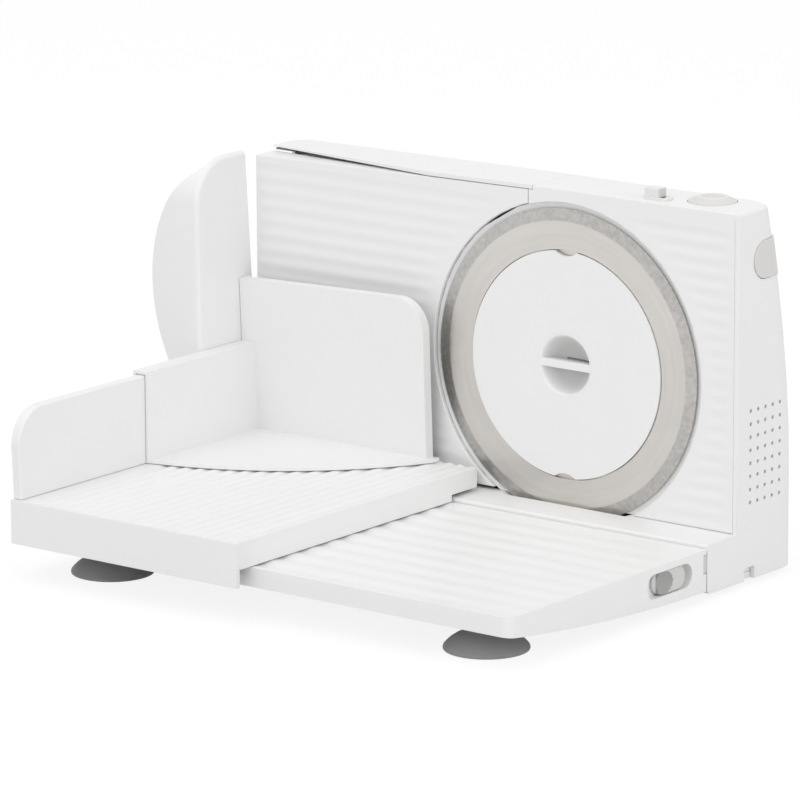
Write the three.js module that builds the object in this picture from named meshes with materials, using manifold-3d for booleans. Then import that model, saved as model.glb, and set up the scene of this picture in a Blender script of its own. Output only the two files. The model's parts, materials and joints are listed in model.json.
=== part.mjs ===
// Electric food slicer with a folding base, built as separate pieces.
// Millimetres, +Z up. X runs along the machine, Y runs back from the front face.
// While it is built, x = 0 and y = 0 lie on the blade's axis at the front face, and z = 0 is
// the table. The last lines move the origin to the middle of the footprint.

import * as THREE from 'three';
import { mergeVertices } from 'three/addons/utils/BufferGeometryUtils.js';
import Module from 'manifold-3d';

const wasm = await Module();
wasm.setup();

// Whole machine
const bladeDiameter = 170;
const bladeAxisHeight = 106;
const bladeToRightEnd = 111.3;
const bladeToLeftEnd = 212;
const housingHeight = 201;
const seatGap = 0.3; // between pieces that sit on each other
const runningGap = 0.4; // between pieces that slide or turn on each other

// Rubber feet under the housing
const footHeight = 3;
const footRadius = 8;
const footInset = 26; // from the housing's ends
const footSetback = 11; // from the sill's front and from the rear wall

// Housing
const housingWall = 2.5;
const topDepth = 38;
const rearDepth = 61;
const widestHeight = 52; // where the rear wall is farthest back
const rearCornerRight = 18;
const rearCornerLeft = 10;
const edgeRounding = 2;
const sillDepth = 26.3;
const sillHeight = 30;
const sillLedge = 5; // sill top behind the front face
const bladeSlotLength = 84;
const bladeSlotBack = 6;
const bladeSlotFront = 3;
const faceRibPitch = 8.05;
const faceRibHeight = 0.6;
const faceRibCrest = 30; // a rib's crest above the blade's axis

// Top cover over the stop plate
const coverSkirt = 11; // cover edge below the housing's top
const coverSeam = -22; // where cover and housing meet
const coverDrop = 2.5; // how far the cover falls towards the left
const coverWall = 2.2;
const coverCutStart = -92; // the slanted front edge starts here
const coverCutDepth = 15.5; // and is this far back at the left end

// Vents and cord notch in the right end
const ventColumns = 5;
const ventRows = 8;
const ventRadius = 1.2;
const ventFront = 12.2;
const ventColumnPitch = 6.7;
const ventTop = 94.5;
const ventRowPitch = 7.04;
const notchFront = 7.5;
const notchWidth = 9.2;
const notchHeight = 6.8;

// Bottom plate and its screws
const bottomThickness = 3.5;
const screwRadius = 1.7;
const screwLength = 11;
const screwHeadRadius = 3.5;
const screwHeadHeight = 1.7;
const screwPostRadius = 5;
const screwInset = 13;

// Front panel and blade well
const panelLeft = -25;
const panelThickness = 3.5;
const panelBorder = 5; // smooth edge round the ribs
const wellGap = 3; // blade edge to well wall
const wellWall = 2.5;
const wellFloorFront = 8.5;
const wellFloorThickness = 2.5;
const wellFloorGap = 1; // blade edge to the floor's own edge, inwards
const guardRingWidth = 8; // ring behind the blade's edge
const guardRingGap = 0.7; // blade's back to the ring

// Blade, disc, lock and hub
const bladeThickness = 1.2;
const bevelWidth = 7;
const edgeSetback = 0.9; // cutting edge behind the ring's face
const edgeThickness = 0.3;
const bevelBack = 0.1; // rear of the ground ring behind the blade's back
const discRadius = 62;
const discThickness = 2.4;
const discProud = 0.7; // disc in front of the blade ring
const discNotchWidth = 15;
const discNotchDepth = 2.8;
const lockRadius = 17.3;
const lockRim = 1;
const lockDepth = 6.4;
const dishDepth = 5;
const gripWidth = 4.8;
const gripSetback = 0.5;
const hubRadius = 30;
const hubThickness = 4.7;
const shaftRadius = 8;
const shaftBushWall = 3;
const shaftBushLength = 11.5;
const bushBossWall = 3.5;

// Motor, worm and gear
const gearPlane = 31.5; // middle of the gear, behind the front face
const gearWidth = 10;
const gearTeeth = 32;
const gearPitchRadius = 30.5;
const wormPitchRadius = 5.5;
const toothDepth = 1.4; // above and below the pitch line
const toothShare = 0.36; // tooth thickness in pitches at the pitch line
const wormLength = 38;
const wormThreadTurns = 4;
const motorRadius = 19;
const motorLength = 58;
const motorFront = 34; // from the blade's axis
const motorBossRadius = 8;
const motorBossLength = 5;
const motorShaftRadius = 2.5;
const cradleThickness = 6;
const cradleInset = 10;
const cradleFoot = 4;
const cradleWidth = 34;
const cradleTopGap = 8; // cradle arms end this far below the motor's axis
const casePlate = 3;
const caseGap = 2.5; // gear to case plate
const caseHalfWidth = 43;
const caseAbove = 46;
const caseBelow = 46;
const casePostRadius = 4;

// Slice thickness
const plateBottomGap = 2; // stop plate above the sill
const plateTopGap = 0.4; // stop plate below the cover, at its right end
const plateFall = 3; // plate's top edge falls this much towards the left
const plateArcGap = 3.5; // blade edge to the plate's arc
const plateBandWidth = 3;
const plateSeamGap = 0.4;
const plateTravel = 12;
const flangeThickness = 2;
const flangeOverlap = 0.4; // flange reaches this far under the cover
const sideFlangeDepth = 20;
const rodRadius = 4;
const rodLength = 29;
const rodBushWall = 1.5;
const rodBushLength = 10;
const rodBossWall = 3;
const rodBossFront = 21;
const upperRodX = -110;
const upperRodZ = 150;
const lowerRodX = -190;
const lowerRodZ = 60;
const dialX = -115;
const dialZ = 58;
const dialRadius = 24;
const dialThickness = 13;
const dialGrips = 16;
const dialGripRadius = 2;
const dialShaftRadius = 5;
const camInner = 11;
const camOuter = 21;
const camBack = 2; // cam to rear wall
const camLand = 2.5; // cam thickness under the ramp's far end
const camSweep = 300; // degrees of dial turn for the whole travel
const postRadius = 4;
const camSteps = 24;

// Controls
const slideX = 46;
const slideY = 6;
const slideLength = 8;
const slideDepth = 7.5;
const slideBlockHeight = 4.4;
const slideTravel = 5;
const slideStem = 4;
const slideStemDepth = 3.5;
const slideFoot = 2;
const bezelThickness = 1;
const bezelMargin = 1;
const bezelTail = 7; // bezel past the thumb block
const buttonX = 79;
const buttonSetback = 16; // button's middle in front of the roof's rear edge
const buttonRadius = 13;
const buttonProud = 1.6;
const buttonFlange = 1;
const buttonSkirt = 3.5; // button below the roof's underside
const buttonDish = 0.9;
const buttonRim = 2.6;
const sideFront = 13.8;
const sideRear = 38;
const sideDrop = 17.1; // side button's top below the housing's top
const sideHeight = 20.3;
const sideSkinMargin = 10; // skin drawn above and below the side button
const sideProud = 0.8;
const sideLength = 8;
const sideFlange = 1.5;
const blockLeft = 40;
const blockRight = 99;
const blockFront = 12;
const blockRear = 34;
const blockDrop = 12.5; // roof underside to switch block
const blockHeight = 14;
const blockPost = 4;
const springWire = 0.5;
const springRadius = 3;
const springTurns = 4;
const pocketDepth = 5;
const pocketGap = 1;

// Base
const hingeGap = 1;
const baseHeight = 28;
const baseFront = 197.8;
const baseWall = 2.5;
const baseTopThickness = 3.5;
const baseRearDrop = 22.7; // skirt height at the hinge
const baseFrontDrop = 10.4; // and at the front
const baseCurveAt = 110; // pull point of the skirt's curved edge
const baseCurveDrop = 22.5;
const baseCorner = 5;
const baseRibPitch = 16.7;
const baseRibHeight = 1.1;
const baseRibFront = 0.4; // first crest behind the front edge
const baseRibRear = 2; // smooth edge behind the ribs
const baseRibBorder = 2.5; // and beside them
const hingeBack = 5.7; // pin's axis in front of the sill
const hingeHeight = 19;
const lugRadius = 4.5;
const lugWidth = 16;
const lugInset = 42; // lug's middle from the housing's ends
const knuckleWidth = 8;
const pinRadius = 2.5;
const tabWidth = 5;
const tabDepth = 2.6;
const tabBottom = 16;
const tabTop = 24.4;
const suctionRadius = 22.3;
const suctionLip = 2.2;
const suctionNeck = 8.5;
const suctionShoulder = 16.5;
const suctionShoulderHeight = 7;
const suctionHeight = 14.5;
const suctionInset = 37; // from the base's ends
const suctionSetback = 30; // from the base's front
const suctionBossRadius = 11;
const latchFront = 80;
const latchRear = 40;
const latchBottom = 11.2;
const latchTop = 24.4;
const latchDepth = 5;
const latchLength = 26;
const latchRearGap = 5; // slider to the recess's rear end
const latchProud = 0.7; // slider below the base's side
const latchTravel = 8;
const latchDimple = 6.5;
const latchStem = 8;
const latchStemHeight = 4;
const boltWidth = 6;
const boltHeight = 8;
const boltLength = 42;
const boltEngage = 3; // bolt inside the sill's keeper
const keeperPlay = 0.5; // free height under the bolt in its keeper
const latchSpringRadius = 2.6;
const latchSpringRoom = 8; // spring's length when the latch is pulled

// Carriage
const carriageTop = 43;
const carriageRight = -55;
const carriageOverhang = 12.2; // apron in front of the base's front
const carriageRear = 5.8;
const carriageWall = 3;
const carriageBottom = 32; // over the sill
const skirtSetback = 0.7; // low skirt's rear end in front of the base's rear edge
const apronBottom = 19;
const carriageRibPitch = 7.6;
const carriageRibHeight = 0.8;
const carriageRibSide = 3.3; // last crest inside the right edge
const carriageRibLeft = 5; // smooth edge beside the fence
const carriageRibFront = 1; // and in front of the ribs
const carriageRibRear = 3; // and behind them
const runnerInset = 12;
const runnerWall = 2.6;
const runnerHookHeight = 2;
const runnerHookDepth = 4;
const runnerGap = 0.5;
const padLength = 18;
const padWidth = 12;
const padSetback = 60;
const fenceThickness = 6;
const fenceHeight = 48.5;
const fenceInset = 3; // from the carriage's left end
const fenceFrontInset = 0.5;
const fenceRearInset = 2.5;
const fenceCorner = 20;
const fenceScrewRadius = 1.6;
const fenceScrewLength = 12;
const fenceScrewHead = 2.6;
const fenceScrewHeadHeight = 2;
const fenceScrewInset = 30;

// Food holder and hand guard
const sleeveWall = 1.6;
const sleeveFront = 107;
const holderFloor = 1.7;
const holderFloorRight = -79;
const holderBow = 18; // sagitta of the floor's curved edge
const pusherFront = 13;
const pusherThickness = 6;
const pusherRight = -84;
const pusherHeightLeft = 85.7;
const pusherHeightRight = 89;
const pusherCorner = 18;
const pusherLean = 2.3; // degrees, top towards the front
const guardThickness = 3;
const guardTop = 199.2;
const guardBottomGap = 1;
const guardWaist = 128; // height of the guard's waist, at the pusher's top
const guardFront = 50.9; // front and rear edges at that height
const guardRear = 5.3;
const guardFrontLean = 1.2; // how far the edges lean forward from there to the top
const guardRearLean = 4.9;
const guardFootRear = 8; // rear edge at the bottom, beside the sleeve
const guardRound = 25; // radius of the rounded top corner
const guardLobe = 32.4; // how far the lobe stands out to the left
const guardLobeRadius = 87.3;
const guardLobeHeight = 127; // lobe's middle above the table

// Places worked out from the sizes above
const bladeRadius = bladeDiameter / 2;
const left = -bladeToLeftEnd;
const right = bladeToRightEnd;
const floorLevel = footHeight + seatGap;
const roofUnder = housingHeight - housingWall;
const sillTopUnder = sillHeight - housingWall;
const rearInner = rearDepth - housingWall;
const wellRadius = bladeRadius + wellGap;
const wellBack = wellFloorFront + wellFloorThickness;
const plateArc = bladeRadius + plateArcGap;
const gearDistance = gearPitchRadius + wormPitchRadius;
const motorAxisZ = bladeAxisHeight - gearDistance;
const baseRear = sillDepth + hingeGap;
const camMiddle = (camInner + camOuter) / 2;
const buttonY = topDepth - buttonSetback;
const sideTop = housingHeight - sideDrop;
const sideBottom = sideTop - sideHeight;
const postX = dialX;
const postZ = dialZ + camMiddle;
const hingeY = -(sillDepth + hingeBack);
const tabLeft = right - tabWidth;
const latchMiddle = (latchBottom + latchTop) / 2;
const latchFloor = right - latchDepth;
const boltOuter = latchFloor - latchDepth + runningGap;
const boltInner = boltOuter - boltWidth;
const boltRear = -sillDepth + boltEngage;
const boltFront = boltRear - boltLength;
const boltLow = latchMiddle - boltHeight / 2;
const big = 400; // reach of cutting blocks, longer than the machine

const degrees = Math.PI / 180;
const V2 = (x, y) => new THREE.Vector2(x, y);

// Solids from geometry, and back

function solid(geometry) {
  const bare = geometry.index ? geometry.toNonIndexed() : geometry.clone();
  bare.deleteAttribute('normal');
  bare.deleteAttribute('uv');
  const merged = mergeVertices(bare, 1e-4);
  const vertProperties = new Float32Array(merged.attributes.position.array);
  const triVerts = new Uint32Array(merged.index.array);
  const mesh = new wasm.Mesh({ numProp: 3, vertProperties, triVerts });
  return new wasm.Manifold(mesh);
}

function geometryOf(manifold) {
  const mesh = manifold.getMesh();
  const geometry = new THREE.BufferGeometry();
  geometry.setAttribute('position', new THREE.BufferAttribute(mesh.vertProperties, 3));
  geometry.setIndex(new THREE.BufferAttribute(mesh.triVerts, 1));
  return geometry;
}

const join = (...parts) => parts.reduce((a, b) => a.add(b));
const cut = (body, ...tools) => tools.reduce((a, b) => a.subtract(b), body);
const common = (...parts) => parts.reduce((a, b) => a.intersect(b));

function block(x0, x1, y0, y1, z0, z1) {
  const geometry = new THREE.BoxGeometry(x1 - x0, y1 - y0, z1 - z0);
  geometry.translate((x0 + x1) / 2, (y0 + y1) / 2, (z0 + z1) / 2);
  return solid(geometry);
}

// Turns an extrusion along Z into one along X or Y, with the shape's axes kept upright

const alongX = new THREE.Matrix4().makeBasis(
  new THREE.Vector3(0, 1, 0),
  new THREE.Vector3(0, 0, 1),
  new THREE.Vector3(1, 0, 0),
);

function extrude(shape, depth, curveSegments = 4) {
  return new THREE.ExtrudeGeometry(shape, { depth, bevelEnabled: false, curveSegments });
}

function prismX(shape, x0, x1, curveSegments) {
  const geometry = extrude(shape, x1 - x0, curveSegments);
  geometry.applyMatrix4(alongX);
  geometry.translate(x0, 0, 0);
  return solid(geometry);
}

function prismY(shape, y0, y1, curveSegments) {
  const geometry = extrude(shape, y1 - y0, curveSegments);
  geometry.rotateX(Math.PI / 2);
  geometry.translate(0, y1, 0);
  return solid(geometry);
}

function prismZ(shape, z0, z1, curveSegments) {
  const geometry = extrude(shape, z1 - z0, curveSegments);
  geometry.translate(0, 0, z0);
  return solid(geometry);
}

function rodX(y, z, radius, x0, x1, sides = 24) {
  const geometry = new THREE.CylinderGeometry(radius, radius, x1 - x0, sides);
  geometry.rotateZ(Math.PI / 2);
  geometry.translate((x0 + x1) / 2, y, z);
  return solid(geometry);
}

function rodY(x, z, radius, y0, y1, sides = 24) {
  const geometry = new THREE.CylinderGeometry(radius, radius, y1 - y0, sides);
  geometry.translate(x, (y0 + y1) / 2, z);
  return solid(geometry);
}

function rodZ(x, y, radius, z0, z1, sides = 24) {
  const geometry = new THREE.CylinderGeometry(radius, radius, z1 - z0, sides);
  geometry.rotateX(Math.PI / 2);
  geometry.translate(x, y, (z0 + z1) / 2);
  return solid(geometry);
}

// A turned piece: the profile is a list of [radius, distance along the axis]

function turned(profile, sides) {
  const points = profile.map(([radius, along]) => V2(radius, along));
  return new THREE.LatheGeometry(points, sides);
}

function turnedY(profile, x, z, sides = 32) {
  const geometry = turned(profile, sides);
  geometry.translate(x, 0, z);
  return solid(geometry);
}

function turnedZ(profile, x, y, sides = 32) {
  const geometry = turned(profile, sides);
  geometry.rotateX(Math.PI / 2);
  geometry.translate(x, y, 0);
  return solid(geometry);
}

function tubeY(x, z, inner, outer, y0, y1, sides = 24) {
  return turnedY([[inner, y0], [outer, y0], [outer, y1], [inner, y1], [inner, y0]], x, z, sides);
}

// A skin through rings of points that all run the same way, closed at both ends

function loft(rings) {
  const count = rings[0].length;
  const position = rings.flatMap((ring) => ring.flatMap((p) => [p.x, p.y, p.z]));
  const index = [];
  for (let level = 0; level < rings.length - 1; level += 1) {
    for (let k = 0; k < count; k += 1) {
      const a = level * count + k;
      const b = level * count + ((k + 1) % count);
      index.push(a, b, b + count, a, b + count, a + count);
    }
  }
  const flat = (ring) => ring.map((p) => V2(p.x, p.y));
  const last = (rings.length - 1) * count;
  for (const [a, b, c] of THREE.ShapeUtils.triangulateShape(flat(rings[0]), [])) {
    index.push(a, c, b);
  }
  for (const [a, b, c] of THREE.ShapeUtils.triangulateShape(flat(rings.at(-1)), [])) {
    index.push(last + a, last + b, last + c);
  }
  const geometry = new THREE.BufferGeometry();
  geometry.setAttribute('position', new THREE.Float32BufferAttribute(position, 3));
  geometry.setIndex(index);
  return solid(geometry);
}

// A tube along a chain of sections. A closed chain joins its last section to its first.

function chain(sections, closed) {
  const count = sections[0].length;
  const position = sections.flatMap((section) => section.flatMap((p) => [p.x, p.y, p.z]));
  const index = [];
  const spans = closed ? sections.length : sections.length - 1;
  for (let s = 0; s < spans; s += 1) {
    const next = (s + 1) % sections.length;
    for (let k = 0; k < count; k += 1) {
      const a = s * count + k;
      const b = s * count + ((k + 1) % count);
      const c = next * count + k;
      const d = next * count + ((k + 1) % count);
      index.push(a, b, d, a, d, c);
    }
  }
  if (!closed) {
    const last = (sections.length - 1) * count;
    for (let k = 1; k < count - 1; k += 1) {
      index.push(0, k + 1, k);
      index.push(last, last + k, last + k + 1);
    }
  }
  const geometry = new THREE.BufferGeometry();
  geometry.setAttribute('position', new THREE.Float32BufferAttribute(position, 3));
  geometry.setIndex(index);
  return solid(geometry);
}

function outline(points) {
  return new THREE.Shape(points.map(([u, v]) => V2(u, v)));
}

function roundedRectangle(u0, u1, v0, v1, radius) {
  const shape = new THREE.Shape();
  shape.absarc(u1 - radius, v1 - radius, radius, 0, Math.PI / 2);
  shape.absarc(u0 + radius, v1 - radius, radius, Math.PI / 2, Math.PI);
  shape.absarc(u0 + radius, v0 + radius, radius, Math.PI, 1.5 * Math.PI);
  shape.absarc(u1 - radius, v0 + radius, radius, 1.5 * Math.PI, 2 * Math.PI);
  return shape;
}

// Ribs: the outline of what is cut away above a row of flat-topped ribs between two places.
// One rib's crest, inside the row or past its ends, says where all the others lie.

function grooves(from, to, crest, pitch, height, surface, outward) {
  const start = crest + Math.ceil((from - crest) / pitch) * pitch;
  const count = Math.floor((to - start) / pitch);
  const points = [];
  for (let k = 0; k < count; k += 1) {
    for (const [share, depth] of [[0.1, -0.05], [0.4, height], [0.6, height], [0.9, -0.05]]) {
      points.push([start + (k + share) * pitch, surface - outward * depth]);
    }
  }
  const clear = surface + outward * pitch;
  return [[points[0][0], clear], ...points, [points.at(-1)[0], clear]];
}

// Level ribs on an upright front face at y = 0

function faceGrooves(low, high) {
  const crest = bladeAxisHeight + faceRibCrest;
  const row = grooves(low, high, crest, faceRibPitch, faceRibHeight, 0, -1);
  return outline(row.map(([z, y]) => [y, z]));
}

// A coil spring along +Z from the origin. Its least gap to itself is measured and printed.

function coil(name, radius, wire, height, turns) {
  const steps = 7;
  const sides = 4;
  const rise = (height - 2 * wire) / turns;
  const sections = [];
  for (let k = 0; k <= turns * steps; k += 1) {
    const angle = (2 * Math.PI * k) / steps;
    const section = [];
    for (let s = 0; s < sides; s += 1) {
      const around = (2 * Math.PI * s) / sides;
      const out = radius + wire * Math.cos(around);
      const up = wire + (rise * k) / steps - wire * Math.sin(around);
      section.push(new THREE.Vector3(out * Math.cos(angle), out * Math.sin(angle), up));
    }
    sections.push(section);
  }
  console.log(`${name}: least gap between turns ${(rise - 2 * wire).toFixed(2)} mm`);
  return chain(sections, false);
}

// Materials

const finish = (color, roughness, metalness) => () =>
  new THREE.MeshStandardMaterial({ color, roughness, metalness });
const whitePlastic = finish(0xf3f3f2, 0.45, 0);
const greyPlastic = finish(0xd5d3cf, 0.5, 0);
const darkPlastic = finish(0x8d8d8c, 0.55, 0);
const innerPlastic = finish(0xb9b9b6, 0.6, 0);
const gearPlastic = finish(0xe4ddc8, 0.5, 0);
const rubber = finish(0x66676a, 0.85, 0);
const bladeSteel = finish(0xc9c5bf, 0.3, 1);
const steel = finish(0xb4b6b8, 0.35, 1);
const bronze = finish(0xb08a52, 0.4, 1);
const motorSteel = finish(0x8f9296, 0.45, 1);

const slicer = new THREE.Group();

function piece(name, body, material) {
  const mesh = new THREE.Mesh(geometryOf(body), material());
  mesh.name = name;
  slicer.add(mesh);
}

// Housing body: a plan that grows with depth, drawn at each height

const rearCurve = new THREE.CubicBezierCurve(
  V2(topDepth, housingHeight),
  V2(topDepth + (rearDepth - topDepth) / 2, housingHeight - (housingHeight - widestHeight) / 4),
  V2(rearDepth + 0.5, widestHeight + (housingHeight - widestHeight) / 3),
  V2(rearDepth, widestHeight),
);
const rearSteps = 6;

function planRing(depth, z, inset, front) {
  const ring = [];
  const steps = 4;
  const point = (x, y) => ring.push(new THREE.Vector3(x, y, z));
  point(left + inset, front);
  point(right - inset, front);
  for (let k = 0; k <= steps; k += 1) {
    const angle = (k / steps) * (Math.PI / 2);
    const radius = rearCornerRight - inset;
    const cx = right - rearCornerRight;
    const cy = depth - rearCornerRight;
    point(cx + radius * Math.cos(angle), cy + radius * Math.sin(angle));
  }
  for (let k = 0; k <= steps; k += 1) {
    const angle = (k / steps + 1) * (Math.PI / 2);
    const radius = rearCornerLeft - inset;
    const cx = left + rearCornerLeft;
    const cy = depth - rearCornerLeft;
    point(cx + radius * Math.cos(angle), cy + radius * Math.sin(angle));
  }
  return ring;
}

function rearDepthAt(z) {
  const points = rearCurve.getPoints(rearSteps);
  if (z <= widestHeight) {
    return rearDepth;
  }
  if (z >= housingHeight) {
    return topDepth;
  }
  const above = points.findIndex((p) => p.y <= z);
  const high = points[above - 1];
  const low = points[above];
  return low.x + ((high.x - low.x) * (z - low.y)) / (high.y - low.y);
}

function housingBody(inset, bottom, top, front, rounded) {
  const rings = [planRing(rearDepthAt(bottom), bottom, inset, front)];
  const heights = rearCurve.getPoints(rearSteps).map((p) => p.y).reverse();
  const lowest = rings.at(-1)[0].z;
  const highest = rounded ? top - edgeRounding : top;
  for (const z of heights) {
    if (z > lowest + 1 && z < highest - 1) {
      rings.push(planRing(rearDepthAt(z), z, inset, front));
    }
  }
  if (rounded) {
    const near = edgeRounding * 0.3;
    rings.push(planRing(rearDepthAt(highest), highest, inset, front));
    rings.push(planRing(rearDepthAt(top), top - near, inset + near, front));
    rings.push(planRing(rearDepthAt(top), top, inset + edgeRounding, front));
  } else {
    rings.push(planRing(rearDepthAt(top), top, inset, front));
  }
  return loft(rings);
}

const housingOuter = housingBody(0, floorLevel, housingHeight, 0, true);
const sillRound = 3;
const sillShape = new THREE.Shape();
sillShape.moveTo(rearDepth / 2, floorLevel);
sillShape.lineTo(rearDepth / 2, sillHeight);
sillShape.absarc(-sillDepth + 1, sillHeight - 1, 1, Math.PI / 2, Math.PI);
sillShape.absarc(-sillDepth + sillRound, floorLevel + sillRound, sillRound, Math.PI, 1.5 * Math.PI);
const sill = prismX(sillShape, left, right, 2);

function rodBoss(x, z) {
  const radius = rodRadius + runningGap + rodBushWall + seatGap + rodBossWall;
  return common(housingOuter, rodY(x, z, radius, rodBossFront, big));
}

function rodBore(x, z) {
  const radius = rodRadius + runningGap + rodBushWall + seatGap;
  return rodY(x, z, radius, rodBossFront - 1, rearDepthAt(z) - housingWall);
}

function screwPlaces() {
  const places = [];
  for (const x of [left + housingWall + screwInset, right - housingWall - screwInset]) {
    places.push([x, -sillDepth + housingWall + screwInset, sillTopUnder]);
    places.push([x, rearInner - screwPostRadius + 1, sillTopUnder]);
  }
  return places;
}

function lugPlaces() {
  return [left + lugInset, right - lugInset];
}

function hingeLug(x) {
  const shape = new THREE.Shape();
  shape.moveTo(-sillDepth + 1, hingeHeight - lugRadius);
  shape.lineTo(-sillDepth + 1, hingeHeight + lugRadius);
  shape.absarc(hingeY, hingeHeight, lugRadius, Math.PI / 2, 1.5 * Math.PI);
  return prismX(shape, x - lugWidth / 2, x + lugWidth / 2, 4);
}

function sideShape(grow) {
  const rear = sideRear + grow;
  const radius = sideHeight / 2 + grow;
  const middle = sideFront + sideHeight / 2;
  const shape = new THREE.Shape();
  shape.moveTo(rear, sideBottom - grow);
  shape.lineTo(rear, sideTop + grow);
  shape.absarc(middle, (sideBottom + sideTop) / 2, radius, Math.PI / 2, 1.5 * Math.PI);
  return shape;
}

function slideSlot(z0, z1) {
  const x0 = slideX + (slideLength - slideStem) / 2 - runningGap;
  const y0 = slideY + (slideDepth - slideStemDepth) / 2 - runningGap;
  const y1 = y0 + slideStemDepth + 2 * runningGap;
  return block(x0, x0 + slideStem + slideTravel + 2 * runningGap, y0, y1, z0, z1);
}

// Room for the slide switch's foot, over its whole travel

function slideFootWay() {
  const low = roofUnder - slideFoot - 2 * runningGap;
  return block(
    slideX - runningGap,
    slideX + slideLength + slideTravel + runningGap,
    slideY - runningGap,
    slideY + slideDepth + runningGap,
    low,
    big,
  );
}

function housingShell() {
  const plateBack = panelThickness + plateTravel + runningGap;
  const leftOpening = block(left - 1, left + housingWall + 1, -1, plateBack, sillTopUnder, big);
  const ledge = block(left - 1, right + 1, -big, sillLedge, sillTopUnder, sillHeight);
  const inside = housingBody(housingWall, -1, roofUnder, -sillDepth + housingWall, false);
  let body = cut(join(cut(housingOuter, leftOpening), sill), cut(inside, ledge));
  for (const [x, y, top] of screwPlaces()) {
    const low = floorLevel + bottomThickness + seatGap;
    body = join(body, rodZ(x, y, screwPostRadius, low, top + 1, 16));
    body = cut(body, rodZ(x, y, screwRadius + seatGap, low - 1, floorLevel + screwLength + 2, 12));
  }
  body = join(body, rodBoss(upperRodX, upperRodZ), rodBoss(lowerRodX, lowerRodZ));
  body = cut(body, rodBore(upperRodX, upperRodZ), rodBore(lowerRodX, lowerRodZ));
  for (const x of lugPlaces()) {
    body = join(body, hingeLug(x));
    body = cut(body, rodX(hingeY, hingeHeight, pinRadius + seatGap, x - lugWidth, x + lugWidth, 12));
  }
  const coverLine = housingHeight - coverSkirt;
  body = cut(
    body,
    block(left - 1, coverSeam, -1, big, coverLine, big),
    block(
      -bladeSlotLength / 2,
      bladeSlotLength / 2,
      -bladeSlotFront,
      bladeSlotBack,
      sillTopUnder - 1,
      sillHeight + 1,
    ),
    rodY(dialX, dialZ, dialShaftRadius + runningGap, rearInner - 1, big),
    rodZ(buttonX, buttonY, buttonRadius + runningGap, roofUnder - 1, big, 32),
    slideSlot(roofUnder - 1, big),
    prismX(sideShape(runningGap), right - rearCornerRight, big),
    block(right - housingWall - 1, big, notchFront, notchFront + notchWidth, 0, floorLevel + notchHeight),
    block(
      boltInner - runningGap,
      boltOuter + runningGap,
      -sillDepth - 1,
      -sillDepth + housingWall + 1,
      boltLow - keeperPlay,
      boltLow + boltHeight + runningGap,
    ),
  );
  const vents = [];
  for (let column = 0; column < ventColumns; column += 1) {
    for (let row = 0; row < ventRows; row += 1) {
      const y = ventFront + column * ventColumnPitch;
      const z = ventTop - row * ventRowPitch;
      vents.push(rodX(y, z, ventRadius, right - rearCornerRight, right + 1, 6));
    }
  }
  return cut(body, join(...vents));
}

piece('housing_shell', housingShell(), whitePlastic);

// Cover over the stop plate: a thin roof that falls to the left, with a skirt behind

function coverTopAt(x) {
  return housingHeight - (coverDrop * (coverSeam - x)) / (coverSeam - left);
}

function topCover() {
  const low = housingHeight - coverSkirt + seatGap;
  const seam = coverSeam - seatGap;
  const under = (drop, from) => prismY(
    outline([
      [left - 1, from],
      [seam, from],
      [seam, coverTopAt(seam) - drop],
      [left - 1, coverTopAt(left - 1) - drop],
    ]),
    -big,
    big,
  );
  const plateBack = panelThickness + plateTravel + runningGap;
  const inner = common(
    housingBody(coverWall, low - 1, housingHeight, -big, false),
    under(coverWall, low - 2),
  );
  const flangeWay = plateBack + coverCutDepth;
  const slant = outline([[coverCutStart, -1], [coverCutStart, 0], [left - 1, coverCutDepth], [left - 1, -1]]);
  return cut(
    common(housingOuter, under(0, low)),
    inner,
    block(left - 1, left + rearCornerLeft, -1, flangeWay, low - 1, coverTopAt(left) - coverWall),
    prismZ(slant, 0, big),
  );
}

piece('top_cover', topCover(), whitePlastic);

// Bottom plate, screws and feet

function bottomPlate() {
  const gap = seatGap + housingWall;
  let body = common(
    block(left, right, -sillDepth + gap, rearDepth, floorLevel, floorLevel + bottomThickness),
    housingBody(gap, -1, floorLevel + bottomThickness + 1, -sillDepth + gap, false),
  );
  for (const [x, y] of screwPlaces()) {
    const seat = floorLevel + screwHeadHeight + 2 * seatGap;
    body = cut(
      body,
      rodZ(x, y, screwRadius + seatGap, 0, big, 12),
      rodZ(x, y, screwHeadRadius + seatGap, 0, seat, 16),
    );
  }
  return body;
}

piece('bottom_plate', bottomPlate(), innerPlastic);

screwPlaces().forEach(([x, y], k) => {
  const headLow = floorLevel + seatGap;
  const body = join(
    rodZ(x, y, screwHeadRadius, headLow, headLow + screwHeadHeight, 12),
    rodZ(x, y, screwRadius, headLow, floorLevel + screwLength, 8),
  );
  piece(`bottom_screw_${k + 1}`, body, steel);
});

const footRows = [-sillDepth + housingWall + footSetback, rearInner - footSetback];
let footCount = 0;
for (const x of [left + footInset, right - footInset]) {
  for (const y of footRows) {
    footCount += 1;
    const profile = [
      [0, 0],
      [footRadius - 1, 0],
      [footRadius, 1],
      [footRadius, footHeight],
      [0, footHeight],
    ];
    piece(`housing_foot_${footCount}`, turnedZ(profile, x, y, 16), rubber);
  }
}

// Front panel with the blade well and the front shaft boss

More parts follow.
